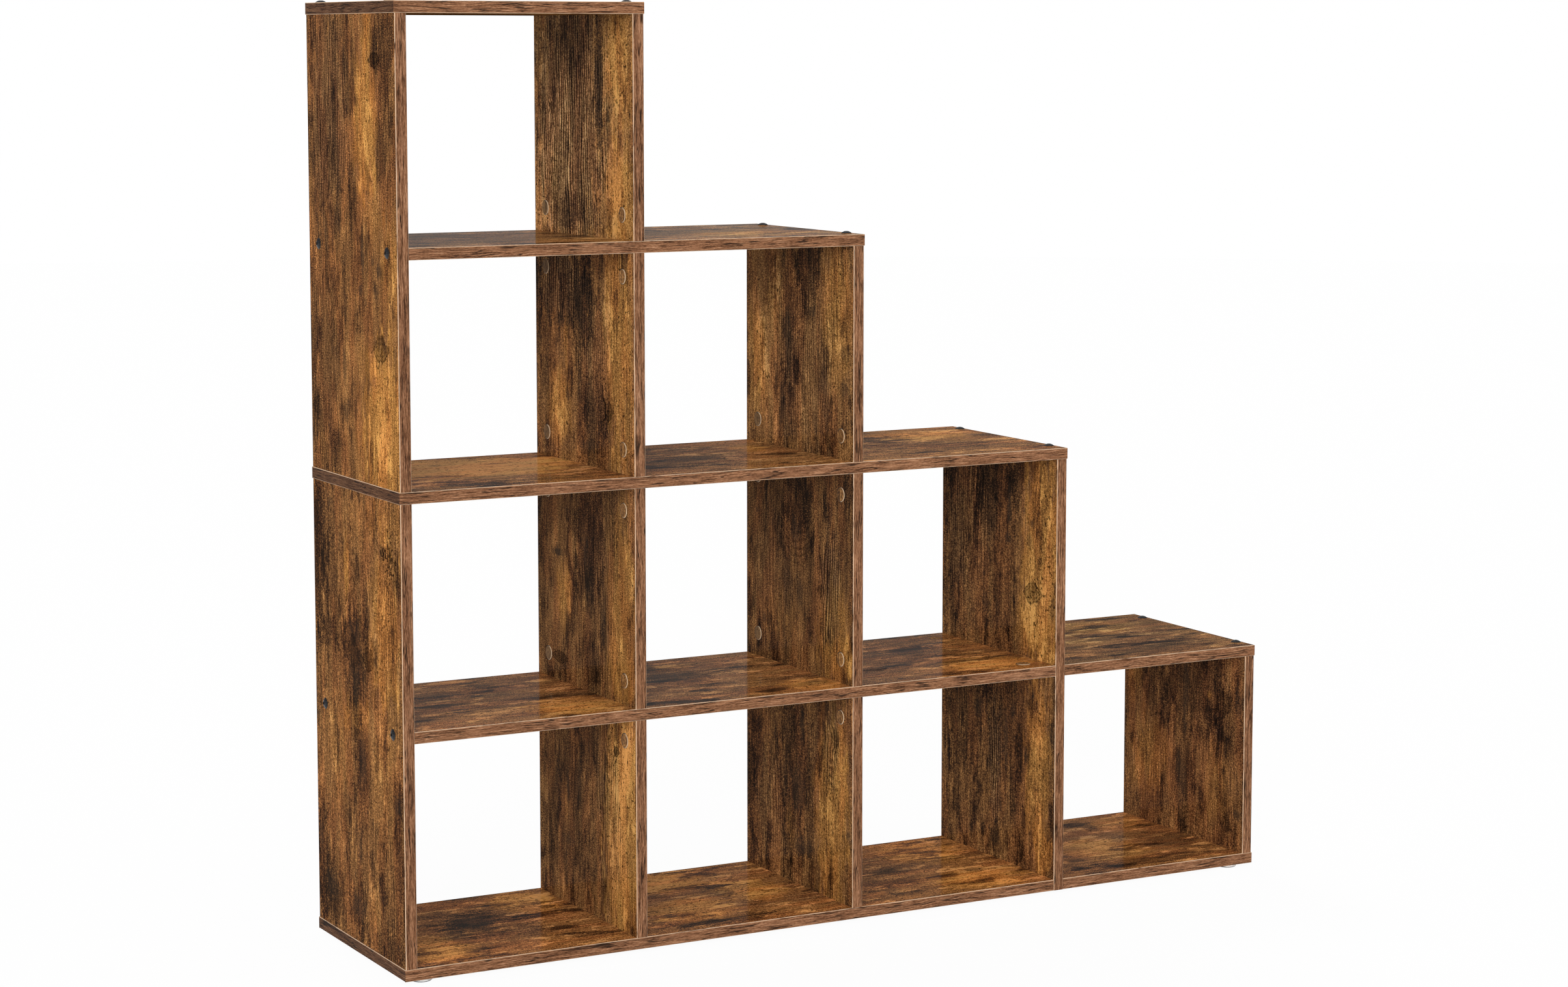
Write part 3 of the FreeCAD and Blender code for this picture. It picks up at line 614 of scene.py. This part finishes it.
# ellipses around the spots, with ragged outlines
def spotSum(place, spots, ragged, kind):
    total = 0.0
    for spot in spots:
        away = lengthOf(fromSpot(place, spot)) + ragged
        total = total + smooth(away, woodLook["spotStart"], woodLook["spotFull"][kind]) * spot[4]
    return total


# pointed lens around a knot: 0 in its middle, 1 on its outline, the points along its longer way
def lensDistance(place, knot):
    dx, dy = splitXyz(fromSpot(place, knot))[:2]
    return abs(dy) + dx * dx if knot[2] > knot[3] else abs(dx) + dy * dy


# how dark the knots are, and the growth lines bent around them
def knotFigure(place, knots, bent, blotch, stipple):
    look = woodLook["knot"]
    dark = 0.0
    for knot in knots:
        away = lensDistance(place, knot) + blotch * look["blotch"] + stipple * look["stipple"]
        core = smooth(away, *look["core"])
        rim = smooth(abs(away - 1.0), *look["rim"])
        ringed = smooth(away, *look["around"]) * smooth(sineOf(away * look["ringWaves"]), *look["ring"])
        shares = core * look["coreShare"] + rim * look["rimShare"] + ringed * look["ringShare"]
        dark = dark + shares * knot[4]
        bent = bent + smooth(away, *look["bend"]) * look["bendBy"]
    return dark, bent


# arched figure: lines of equal along - across squared, open at one end
def archFigure(along, arches, bent, blotch):
    look = woodLook["arch"]
    dark = 0.0
    for middle, start, halfWidth, height, way in arches:
        side = (bent - middle) / halfWidth
        level = (along - start) * (way / height) - side * side * look["hollow"]
        inside = smooth(abs(side), *look["sides"]) * smooth(level, *look["foot"])
        inside = inside * smooth(level, *look["tip"])
        lines = smooth(sineOf(level * look["waves"] + blotch * look["wander"]), *look["line"])
        dark = dark + lines * inside * look["share"]
    return dark


def woodMaterial(board):
    layout = boardPrints[board]
    flat = board in liesFlat
    kind = woodLook["lying" if flat else "standing"]
    moves = woodLook["moves"]
    share = woodLook["marks"]
    material, tree = newMaterial("wood_" + board)
    across, along, place = printPlace(tree, board, flat, layout["seed"])
    cloud, blotch, drift, fibre, hair, stipple = (
        woodNoise(place, name) - midNoise
        for name in ("cloud", "blotch", "drift", "fibre", "hair", "stipple"))
    ragged = blotch * woodLook["raggedBlotch"] + stipple * woodLook["raggedStipple"]
    # broad tone: clouds, golden and dark zones
    tone = layout["tone"] + cloud * moves["cloud"] + blotch * moves["blotch"]
    lit = sum(spotSum(place, layout["light"], ragged, edge) * 0.5 for edge in ("sharpLight", "softLight"))
    tone = tone + lit - spotSum(place, layout["dark"], ragged, "dark")
    # crisp patches, the golden ones mostly in golden zones
    patches = woodLook["flake"] * kind["patches"]
    shifted = vectorMath(place, "ADD", (0.0, 0.0, woodLook["shadeLayer"]))
    flakes = woodFade(woodNoise(place, "flake"), "flake")
    shades = woodFade(noise(shifted, *kind["shade"]), "shade")
    flakes = flakes * (woodLook["flakeBase"] + woodFade(tone, "flakeTone") * (1.0 - woodLook["flakeBase"]))
    tone = tone + flakes * patches - shades * (patches * kind["shadeShare"])
    golden = woodFade(tone, "golden")
    # growth lines: the distance across, bent by drift and by the knots
    bent = across + drift * woodLook["driftBy"]
    knotDark, bent = knotFigure(place, layout.get("knot", []), bent, blotch, stipple)
    archDark = archFigure(along, layout.get("arch", []), bent, blotch)
    reedWave = sineOf(bent * (2.0 * math.pi / woodLook["reedPitch"]))
    reedZone = spotSum(place, layout["reed"], ragged, "reed") + woodLook["reedBase"]
    reedZone = reedZone + woodFade(cloud, "reedCloud") * woodLook["reedCloud"]
    reed = woodFade(reedWave + fibre * woodLook["reedFibre"], "reed") * reedZone * kind["calm"]
    reed = reed * woodFade(woodNoise(place, "gap"), "gap")
    # fine marks: pores, specks and stains
    pores = woodFade(woodNoise(place, "pore"), "pore")
    burnt = spotSum(place, layout.get("burn", []), ragged, "burn")
    crowded = woodNoise(place, "speck") + golden * woodLook["speckGolden"] + burnt * woodLook["speckBurnt"]
    specks = woodFade(crowded, "speck")
    stray = woodFade(woodNoise(place, "stray"), "stray") * kind["stray"]
    stained = clamped(spotSum(place, layout["stain"], ragged, "stain") + stray)
    marks = reed * share["reed"] + pores * share["pores"] + specks * share["specks"] + knotDark + archDark
    marks = clamped(marks, share["most"])
    # colour
    fine = fibre * moves["fibre"] + hair * moves["hair"] + stipple * moves["stipple"]
    colour = rampOf(tone + fine * kind["calm"], woodLook["tones"])
    tints = {
        "red": woodFade(woodNoise(place, "redder"), "redder"),
        "gold": woodFade(lit, "gold"),
        "grey": woodFade(reedZone, "grey"),
    }
    for name, amount in tints.items():
        colour = blend(amount, colour, vectorMath(colour, "MULTIPLY", woodLook[name]))
    if "tint" in layout:
        colour = vectorMath(colour, "MULTIPLY", layout["tint"])
    colour = blend(stained * woodLook["stainShare"], colour, opaque(woodLook["stain"]))
    colour = scaled(colour, 1.0 - marks)
    gloss = kind["gloss"] * layout.get("gloss", 1.0)
    if flat:   # the underside is dull
        gloss = woodFade(splitXyz(normalOf(tree))[2], "upward") * gloss
    roughness = woodLook["roughness"] + blotch * woodLook["roughBlotch"] + marks * woodLook["roughMarks"]
    finishShader(tree, {
        "Base Color": colour,
        "Roughness": roughness,
        "Specular IOR Level": 0.0,
        "Coat Weight": gloss * (1.0 + blotch * woodLook["glossBlotch"] - marks * woodLook["glossMarks"]),
        "Coat Roughness": woodLook["glossRoughness"],
        "Normal": bumpOf(fibre * woodLook["bumpFibre"] - marks, woodLook["bump"], woodLook["bumpDepth"]),
    })
    return material


for board in boardPrints:
    dress(cadNodes[board], woodMaterial(board))
print("boards printed:", len(boardPrints))

# printed edging tape
edgingLook = {
    "tones": [
        (0.00, (0.030, 0.0130, 0.0068)), (0.30, (0.098, 0.0425, 0.0210)), (0.55, (0.206, 0.0935, 0.0465)),
        (0.80, (0.310, 0.153, 0.080)), (1.00, (0.420, 0.232, 0.132)),
    ],
    "split": (0.018, 0.011, 0.008),
    "splitShare": 0.9,
    # arris: pale cut edges of the tape, partly a painted highlight along them
    "arris": (0.600, 0.425, 0.285),   # the tape's cut edges
    "arrisShare": 0.85,
    # painted shade: the tape on the board ends is painted darker, the left ends most
    "leftEndPaintedShade": 0.48,                # the tape on the board ends is darker
    "rightEndPaintedShade": 0.6,
    "standingShade": 0.95,
    # noises: millimetres across and along the tape, detail, roughness
    "noises": {
        "sway": (60.0, 130.0, 2.0, 0.5),
        "streak": (1.1, 62.0, 3.0, 0.65),
        "hair": (0.7, 18.0, 2.0, 0.6),
        "grit": (0.8, 4.0, 2.0, 0.6),
        "broad": (20.0, 110.0, 2.0, 0.5),
        "split": (3.4, 90.0, 2.0, 0.5),
        "splitZone": (9.0, 36.0, 1.0, 0.5),
    },
    # values between which each mark fades in
    "fades": {
        "split": (0.034, 0.012), "splitZone": (0.42, 0.54), "leftEnd": (-0.5, -0.9), "rightEnd": (0.5, 0.9),
        "arris": (0.93, 0.8), "arrisWear": (0.7, 0.95),
    },
    "tone": 0.525,
    "moves": {"streak": 1.4, "hair": 1.5, "grit": 0.9, "broad": 0.4},   # how far each noise moves the tone
    "lyingSway": 10.0,
    "standingSway": 4.0,
    "layerStep": 0.02,      # keeps the tapes of different boards apart
    "rearStep": 0.5,
    "roughness": 0.38, "roughStreak": 0.3, "specular": 0.01,
    "bump": 0.15, "bumpDepth": 0.0003,
}


def tapeNoise(place, name):
    return noise(place, *edgingLook["noises"][name])


def tapeFade(field, name):
    return smooth(field, *edgingLook["fades"][name])


def edgingMaterial(name, flat):
    material, tree = newMaterial(name)
    x, y, z = splitXyz(millimetres(tree))
    along = x + y if flat else z + y * edgingLook["rearStep"]
    across = z if flat else x
    layer = across * edgingLook["layerStep"]
    place = joinXyz(tree, across, along, layer)
    sway = (tapeNoise(place, "sway") - midNoise) * edgingLook["lyingSway" if flat else "standingSway"]
    swayed = joinXyz(tree, across + sway, along, layer)
    noises = {kind: tapeNoise(swayed, kind) for kind in ("streak", "hair", "grit")}
    noises["broad"] = tapeNoise(place, "broad")
    tone = edgingLook["tone"]
    for kind, field in noises.items():
        tone = tone + (field - midNoise) * edgingLook["moves"][kind]
    # splits follow the lines where a stretched noise crosses its middle
    crossing = abs(tapeNoise(swayed, "split") - midNoise)
    split = tapeFade(crossing, "split") * tapeFade(tapeNoise(place, "splitZone"), "splitZone")
    colour = rampOf(tone, edgingLook["tones"])
    colour = blend(split * edgingLook["splitShare"], colour, opaque(edgingLook["split"]))
    normal = normalOf(tree)
    if flat:
        sideways = splitXyz(normal)[0]
        # painted shade: the tape's end faces are painted darker by which way they face
        shade = tapeFade(sideways, "leftEnd") * (1.0 - edgingLook["leftEndPaintedShade"])
        shade = shade + tapeFade(sideways, "rightEnd") * (1.0 - edgingLook["rightEndPaintedShade"])
        colour = scaled(colour, 1.0 - shade)
    else:
        colour = scaled(colour, edgingLook["standingShade"])
    # the arris is where the normal points along no axis; its pale line is partly the tape's cut edge and
    # partly a painted highlight
    arris = tapeFade(largestPart(normal, (0, 1, 2)), "arris")
    arris = arris * tapeFade(noises["hair"] + noises["streak"], "arrisWear")
    colour = blend(arris * edgingLook["arrisShare"], colour, opaque(edgingLook["arris"]))
    finishShader(tree, {
        "Base Color": colour,
        "Roughness": edgingLook["roughness"] + (noises["streak"] - midNoise) * edgingLook["roughStreak"],
        "Specular IOR Level": edgingLook["specular"],
        "Normal": bumpOf(noises["streak"] - split, edgingLook["bump"], edgingLook["bumpDepth"]),
    })
    return material


lyingEdging = edgingMaterial("edging_lying", True)
standingEdging = edgingMaterial("edging_standing", False)
for board in boardPrints:
    dress(cadNodes[board + "_edging"], lyingEdging if board in liesFlat else standingEdging)
print("edging done")

# dark plated bolts
boltLook = {
    # foot: painted shade, near black, where the dome meets the board
    "steel": (0.010, 0.010, 0.011), "worn": (0.026, 0.027, 0.030), "foot": (0.003, 0.003, 0.003),
    "patch": (3.0, 3.0, 4.0, 0.6), "patchFade": (0.4, 0.65), "footShadeFade": (0.86, 0.77),
    "roughness": 0.24, "roughSlope": 0.3, "specular": 0.20,
}


# painted shade: the dome is painted darker, near black, where it slopes down to its foot
def boltMaterial():
    material, tree = newMaterial("dark_plated_steel")
    patch = smooth(noise(millimetres(tree), *boltLook["patch"]), *boltLook["patchFade"])
    footShade = smooth(largestPart(normalOf(tree), (0, 2)), *boltLook["footShadeFade"])
    colour = blend(patch, opaque(boltLook["steel"]), opaque(boltLook["worn"]))
    finishShader(tree, {
        "Base Color": blend(footShade, colour, opaque(boltLook["foot"])),
        "Roughness": boltLook["roughness"] + footShade * boltLook["roughSlope"],
        "Specular IOR Level": boltLook["specular"],
    })
    return material


# zinc of the cams, their bolts and the nails
zincLook = {
    "zinc": (0.62, 0.63, 0.65), "spangle": (0.45, 0.46, 0.48),
    "patch": (2.0, 2.0, 4.0, 0.6), "fine": (0.3, 0.3, 2.0, 0.5), "fineShare": 0.5,
    "spangleFade": (0.4, 0.72),
    "roughness": 0.35, "roughFine": 0.2, "bump": 0.08, "bumpDepth": 0.0002,
}


def zincMaterial():
    material, tree = newMaterial("zinc_plate")
    place = millimetres(tree)
    patch = noise(place, *zincLook["patch"])
    fine = noise(place, *zincLook["fine"])
    spangle = smooth(patch + (fine - midNoise) * zincLook["fineShare"], *zincLook["spangleFade"])
    finishShader(tree, {
        "Base Color": blend(spangle, opaque(zincLook["zinc"]), opaque(zincLook["spangle"])),
        "Metallic": 1.0,
        "Roughness": zincLook["roughness"] + (fine - midNoise) * zincLook["roughFine"],
        "Normal": bumpOf(fine, zincLook["bump"], zincLook["bumpDepth"]),
    })
    return material


# beech dowels
dowelLook = {
    "pale": (0.66, 0.48, 0.29), "line": (0.42, 0.27, 0.14),
    "grain": (1.0, 1.0, 3.0, 0.6), "lineFade": (0.4, 0.7),
    "roughness": 0.55, "roughGrain": 0.2, "bump": 0.1, "bumpDepth": 0.0003,
}


def dowelMaterial():
    material, tree = newMaterial("beech_dowel")
    grain = noise(millimetres(tree), *dowelLook["grain"])
    line = smooth(grain, *dowelLook["lineFade"])
    finishShader(tree, {
        "Base Color": blend(line, opaque(dowelLook["pale"]), opaque(dowelLook["line"])),
        "Roughness": dowelLook["roughness"] + (grain - midNoise) * dowelLook["roughGrain"],
        "Normal": bumpOf(grain, dowelLook["bump"], dowelLook["bumpDepth"]),
    })
    return material


# white feet
footLook = {
    # rim: painted shade around the sole, also used on the left flank
    "plastic": (0.80, 0.80, 0.79), "scuff": (0.62, 0.62, 0.60), "rim": (0.035, 0.035, 0.04),
    "scuffs": (6.0, 6.0, 4.0, 0.6), "scuffFade": (0.5, 0.8),
    "rimTop": 0.9, "rimFade": 0.5,   # heights over the floor
    "flankFade": (-0.5, -0.98), "flankShade": 0.8,
    "roughness": 0.38, "roughScuff": 0.2,
}


# white glide with painted shade: a dark rim around its sole where it meets the floor, and a darker left
# flank
def footMaterial():
    material, tree = newMaterial("white_plastic")
    place = millimetres(tree)
    scuff = noise(place, *footLook["scuffs"])
    height = splitXyz(place)[2]
    rim = smooth(height, footLook["rimTop"] + footLook["rimFade"], footLook["rimTop"])
    leftFlankShade = smooth(splitXyz(normalOf(tree))[0], *footLook["flankFade"])
    paintedShade = clamped(rim + leftFlankShade * footLook["flankShade"])
    scuffed = smooth(scuff, *footLook["scuffFade"])
    colour = blend(scuffed, opaque(footLook["plastic"]), opaque(footLook["scuff"]))
    finishShader(tree, {
        "Base Color": blend(paintedShade, colour, opaque(footLook["rim"])),
        "Roughness": footLook["roughness"] + (scuff - midNoise) * footLook["roughScuff"],
    })
    return material


fittings = [
    (boltMaterial(), ("top_bolts", "side_bolts", "bottom_bolts")),
    (zincMaterial(), ("cam_locks", "cam_bolts", "foot_nails")),
    (dowelMaterial(), ("wood_dowels",)),
    (footMaterial(), ("feet",)),
]
for material, nodes in fittings:
    for node in nodes:
        dress(cadNodes[node], material)
print("fittings done")

# film discs over the cams, printed like the boards: flat cap, rounded rim with its pale core at the front,
# partly the film's pale edge and partly a painted highlight, and a painted shadow in the gap around it
discLook = {
    "radius": 10.0, "rise": 0.7, "flushRise": 0.12, "rim": 0.9, "gap": 0.5, "lift": 0.05, "gapRise": 0.1,
    "spokes": 48, "capRings": 5, "rimRings": 6,
    "depth": 114.5,   # from the middle, front and rear
    # face place, the face's way out, and the middles on that face
    "uprightFaces": [
        (-621.6, 1.0, (564.0, 641.0)),
        (-321.6, -1.0, (269.0, 346.0, 564.0, 641.0, 859.0, 936.0)),
        (-6.6, -1.0, (269.0, 346.0, 564.0, 641.0)),
    ],
    "shelfFaces": [(5.0, -1.0, (277.4, 354.4)), (315.0, 1.0, (277.4,)), (300.0, -1.0, (354.4,))],
    "capMark": 0.0, "rimMark": 0.5, "gapMark": 1.0,   # values of the rim attribute
    "rimFade": (0.1, 0.4), "gapFade": (0.6, 0.9),
    # the pale core is partly a painted highlight, the dark gap colour a painted shadow
    "core": (0.520, 0.375, 0.240), "gapPaintedShadow": (0.012, 0.008, 0.006),
    "coreUp": -0.15, "coreFade": (-0.35, 0.4),        # the core shows forwards, and a little downwards
    "rearPale": (0.160, 0.098, 0.048), "rearDark": (0.056, 0.034, 0.017), "rearShare": 0.7,
    "rearFade": (0.0, 1.0), "uprightFade": (0.8, 0.5), "filmFade": (0.0, 1.0),
    # noises as on the boards, each with how far it moves the tone
    "noises": [((12.0, 40.0, 3.0, 0.6), 0.6), ((2.2, 30.0, 3.0, 0.6), 1.2), ((1.4, 3.2, 2.0, 0.7), 1.6)],
    "layerStep": 0.37, "tone": 0.50,
    "roughness": 0.36, "roughTone": 0.1, "specular": 0.02,
}


# profile from the cap's middle over a quarter-round rim to the board, closed underneath;
# each disc is middle + radius * (cos, sin) in its face + height * way out
def coverDiscs():
    cap = np.linspace(0.0, discLook["radius"] - discLook["rim"] - discLook["gap"], discLook["capRings"])
    bend = np.linspace(0.0, 0.5 * math.pi, discLook["rimRings"])
    rim = cap[-1] + discLook["rim"] * np.sin(bend)
    radius = np.concatenate([cap, rim[1:], [discLook["radius"], discLook["radius"], 0.0]])
    gapRise, lift = discLook["gapRise"], discLook["lift"]
    rimHeight = gapRise + (discLook["rise"] - gapRise) * np.cos(bend)[1:]
    height = np.concatenate([np.full(len(cap), discLook["rise"]), rimHeight, [gapRise, lift, lift]])
    mark = np.repeat(
        [discLook["capMark"], discLook["rimMark"], discLook["gapMark"]], [len(cap), len(rimHeight), 3])
    middles, outs, sides, flush = [], [], [], []
    for face, way, others in discLook["uprightFaces"]:
        for z in others:
            for y in (-discLook["depth"], discLook["depth"]):
                middles.append((face, y, z))
                outs.append((way, 0.0, 0.0))
                sides.append((0.0, 0.0, way))
                flush.append(False)
    for face, way, others in discLook["shelfFaces"]:
        for x in others:
            for y in (-discLook["depth"], discLook["depth"]):
                middles.append((x, y, face))
                outs.append((0.0, 0.0, way))
                sides.append((way, 0.0, 0.0))
                flush.append(y > 0.0)   # the rear ones in the shelf sit flush and show no rim
    middle, out, side = (np.array(rows)[:, None, None, :] for rows in (middles, outs, sides))
    other = np.cross(out, side)
    rimmed = 1.0 - np.array(flush)[:, None, None]
    rise = np.where(flush, discLook["flushRise"] / discLook["rise"], 1.0)[:, None, None, None]
    turn = np.linspace(0.0, 2.0 * math.pi, discLook["spokes"], endpoint=False)[None, None, :, None]
    points = middle + out * rise * height[None, :, None, None] + radius[None, :, None, None] * (
        side * np.cos(turn) + other * np.sin(turn))
    count = len(radius) * discLook["spokes"]
    faces = np.concatenate([
        gridFaces(len(radius), discLook["spokes"], index * count) for index in range(len(middles))])
    marks = mark[None, :, None] * rimmed * np.ones(points.shape[:3])
    return points * toMetres, faces, marks.reshape(-1)


def discMaterial():
    material, tree = newMaterial("printed_disc")
    x, y, z = splitXyz(millimetres(tree))
    place = joinXyz(tree, y, z + x, x * discLook["layerStep"])
    tone = discLook["tone"]
    for grain, amount in discLook["noises"]:
        tone = tone + (noise(place, *grain) - midNoise) * amount
    ny, nz = splitXyz(normalOf(tree))[1:]
    # the rear discs on the uprights are plainer
    rear = smooth(y, *discLook["rearFade"]) * smooth(abs(nz), *discLook["uprightFade"])
    film = smooth(tone, *discLook["filmFade"])
    film = blend(film, opaque(discLook["rearDark"]), opaque(discLook["rearPale"]))
    printed = blend(rear * discLook["rearShare"], rampOf(tone, woodLook["tones"]), film)
    # rim: pale core on the side facing forwards, partly the film's pale edge and partly a painted
    # highlight; painted shadow in the dark gap around it
    paintedHighlightSide = smooth(nz * discLook["coreUp"] - ny, *discLook["coreFade"])
    mark = addNode(tree, "ShaderNodeAttribute", {"attribute_name": "rim"}, {}, "Fac")
    edge = blend(paintedHighlightSide, opaque(discLook["gapPaintedShadow"]), opaque(discLook["core"]))
    edge = blend(smooth(mark, *discLook["gapFade"]), edge, opaque(discLook["gapPaintedShadow"]))
    finishShader(tree, {
        "Base Color": blend(smooth(mark, *discLook["rimFade"]), printed, edge),
        "Roughness": discLook["roughness"] + tone * discLook["roughTone"],
        "Specular IOR Level": discLook["specular"],
    })
    return material


points, faces, marks = coverDiscs()
discs = meshPiece("cover_discs", points, faces, {"rim": marks})
dress(discs, discMaterial())
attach(discs, "root")
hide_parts("cam_covers")
print("cover discs:", len(discs.data.polygons), "faces")

# pale floor that shows white, and keeps the shadow
stageLook = {
    "floorRadius": 14.0, "floorColour": (0.80, 0.80, 0.80), "white": (1.0, 1.0, 1.0), "shadowShare": 0.04,
    "rings": 24, "spokes": 96,
    "floorDrop": 0.0003,   # just under the feet, so the two faces don't coincide
}


# disc on a polar grid: radius grows with the square of the ring number, centre closed by a ring of no size
def floorDisc():
    ring = np.linspace(0.0, 1.0, stageLook["rings"]) ** 2 * stageLook["floorRadius"]
    turn = np.linspace(0.0, 2.0 * math.pi, stageLook["spokes"], endpoint=False)
    radius, angle = np.meshgrid(ring, turn, indexing="ij")
    height = np.full_like(radius, -stageLook["floorDrop"])
    return np.stack([radius * np.cos(angle), radius * np.sin(angle), height], -1)


floor = meshPiece("floor", floorDisc(), gridFaces(stageLook["rings"], stageLook["spokes"]))
floorMaterial, tree = newMaterial("pale_floor")
pathNode = addNode(tree, "ShaderNodeLightPath", {}, {}).socket.node
rays = ("Is Camera Ray", "Is Glossy Ray", "Is Transmission Ray")
seen = clamped(sum(Field(tree, pathNode.outputs[name]) for name in rays))
plain = addNode(tree, "ShaderNodeBsdfDiffuse", {}, {"Color": opaque(stageLook["floorColour"])})
white = addNode(tree, "ShaderNodeEmission", {}, {"Color": opaque(stageLook["white"]), "Strength": 1.0})
mixed = addNode(
    tree, "ShaderNodeMixShader", {}, {0: seen * (1.0 - stageLook["shadowShare"]), 1: plain, 2: white})
addNode(tree, "ShaderNodeOutputMaterial", {}, {"Surface": mixed})
dress(floor, floorMaterial)

# world: white up to a little above the horizon, soft grey above, lighter again overhead
worldLook = {
    "white": (1.0, 1.0, 1.0), "low": 1.0, "middle": 0.20, "high": 0.60,
    "greyFade": (0.045, 0.065), "highFade": (0.25, 0.9),
}
world = bpy.data.worlds.new("studio")
bpy.context.scene.world = world
world.use_nodes = True
tree = world.node_tree
tree.nodes.clear()
up = splitXyz(addNode(tree, "ShaderNodeTexCoord", {}, {}, "Generated"))[2]
level = worldLook["low"] + smooth(up, *worldLook["greyFade"]) * (worldLook["middle"] - worldLook["low"])
level = level + smooth(up, *worldLook["highFade"]) * (worldLook["high"] - worldLook["middle"])
sky = addNode(tree, "ShaderNodeBackground", {}, {"Color": opaque(worldLook["white"]), "Strength": level})
addNode(tree, "ShaderNodeOutputWorld", {}, {"Surface": sky})

# lamps: azimuth from the front towards the left, elevation and angular size in degrees, strength,
# and whether the clear layer mirrors it
lamps = {
    "key": {"azimuth": 38.0, "elevation": 15.0, "strength": 2.9, "size": 30.0, "glare": False},
    "top": {"azimuth": -20.0, "elevation": 62.0, "strength": 0.6, "size": 60.0, "glare": True},
    # reaches the shelf tops
    "back": {"azimuth": 180.0, "elevation": 42.0, "strength": 1.1, "size": 20.0, "glare": False},
}
for name, lamp in lamps.items():
    light = bpy.data.lights.new(name, "SUN")
    light.energy = lamp["strength"]
    light.angle = math.radians(lamp["size"])
    holder = bpy.data.objects.new(name, light)
    holder.visible_glossy = lamp["glare"]
    holder.rotation_euler = (
        math.radians(90.0 - lamp["elevation"]), 0.0, -math.radians(lamp["azimuth"]))
    bpy.context.scene.collection.objects.link(holder)
print("stage and lamps done")

# camera fitted to the photograph's edges
view = {
    "place": (-2.16404, -3.91428, 1.14639), "tilt": math.pi / 2.0 - 0.109, "turn": -0.4994,
    "lens": 77.504, "sensor": 36.0, "shiftUp": -0.05, "farthest": 200.0,
}
lens = bpy.data.cameras.new("view")
lens.lens = view["lens"]
lens.sensor_width = view["sensor"]
lens.sensor_fit = "HORIZONTAL"
lens.shift_y = view["shiftUp"]
lens.clip_end = view["farthest"]
camera = bpy.data.objects.new("view", lens)
camera.location = view["place"]
camera.rotation_euler = (view["tilt"], 0.0, view["turn"])
bpy.context.scene.collection.objects.link(camera)
bpy.context.scene.camera = camera
bpy.context.scene.view_settings.view_transform = "Standard"
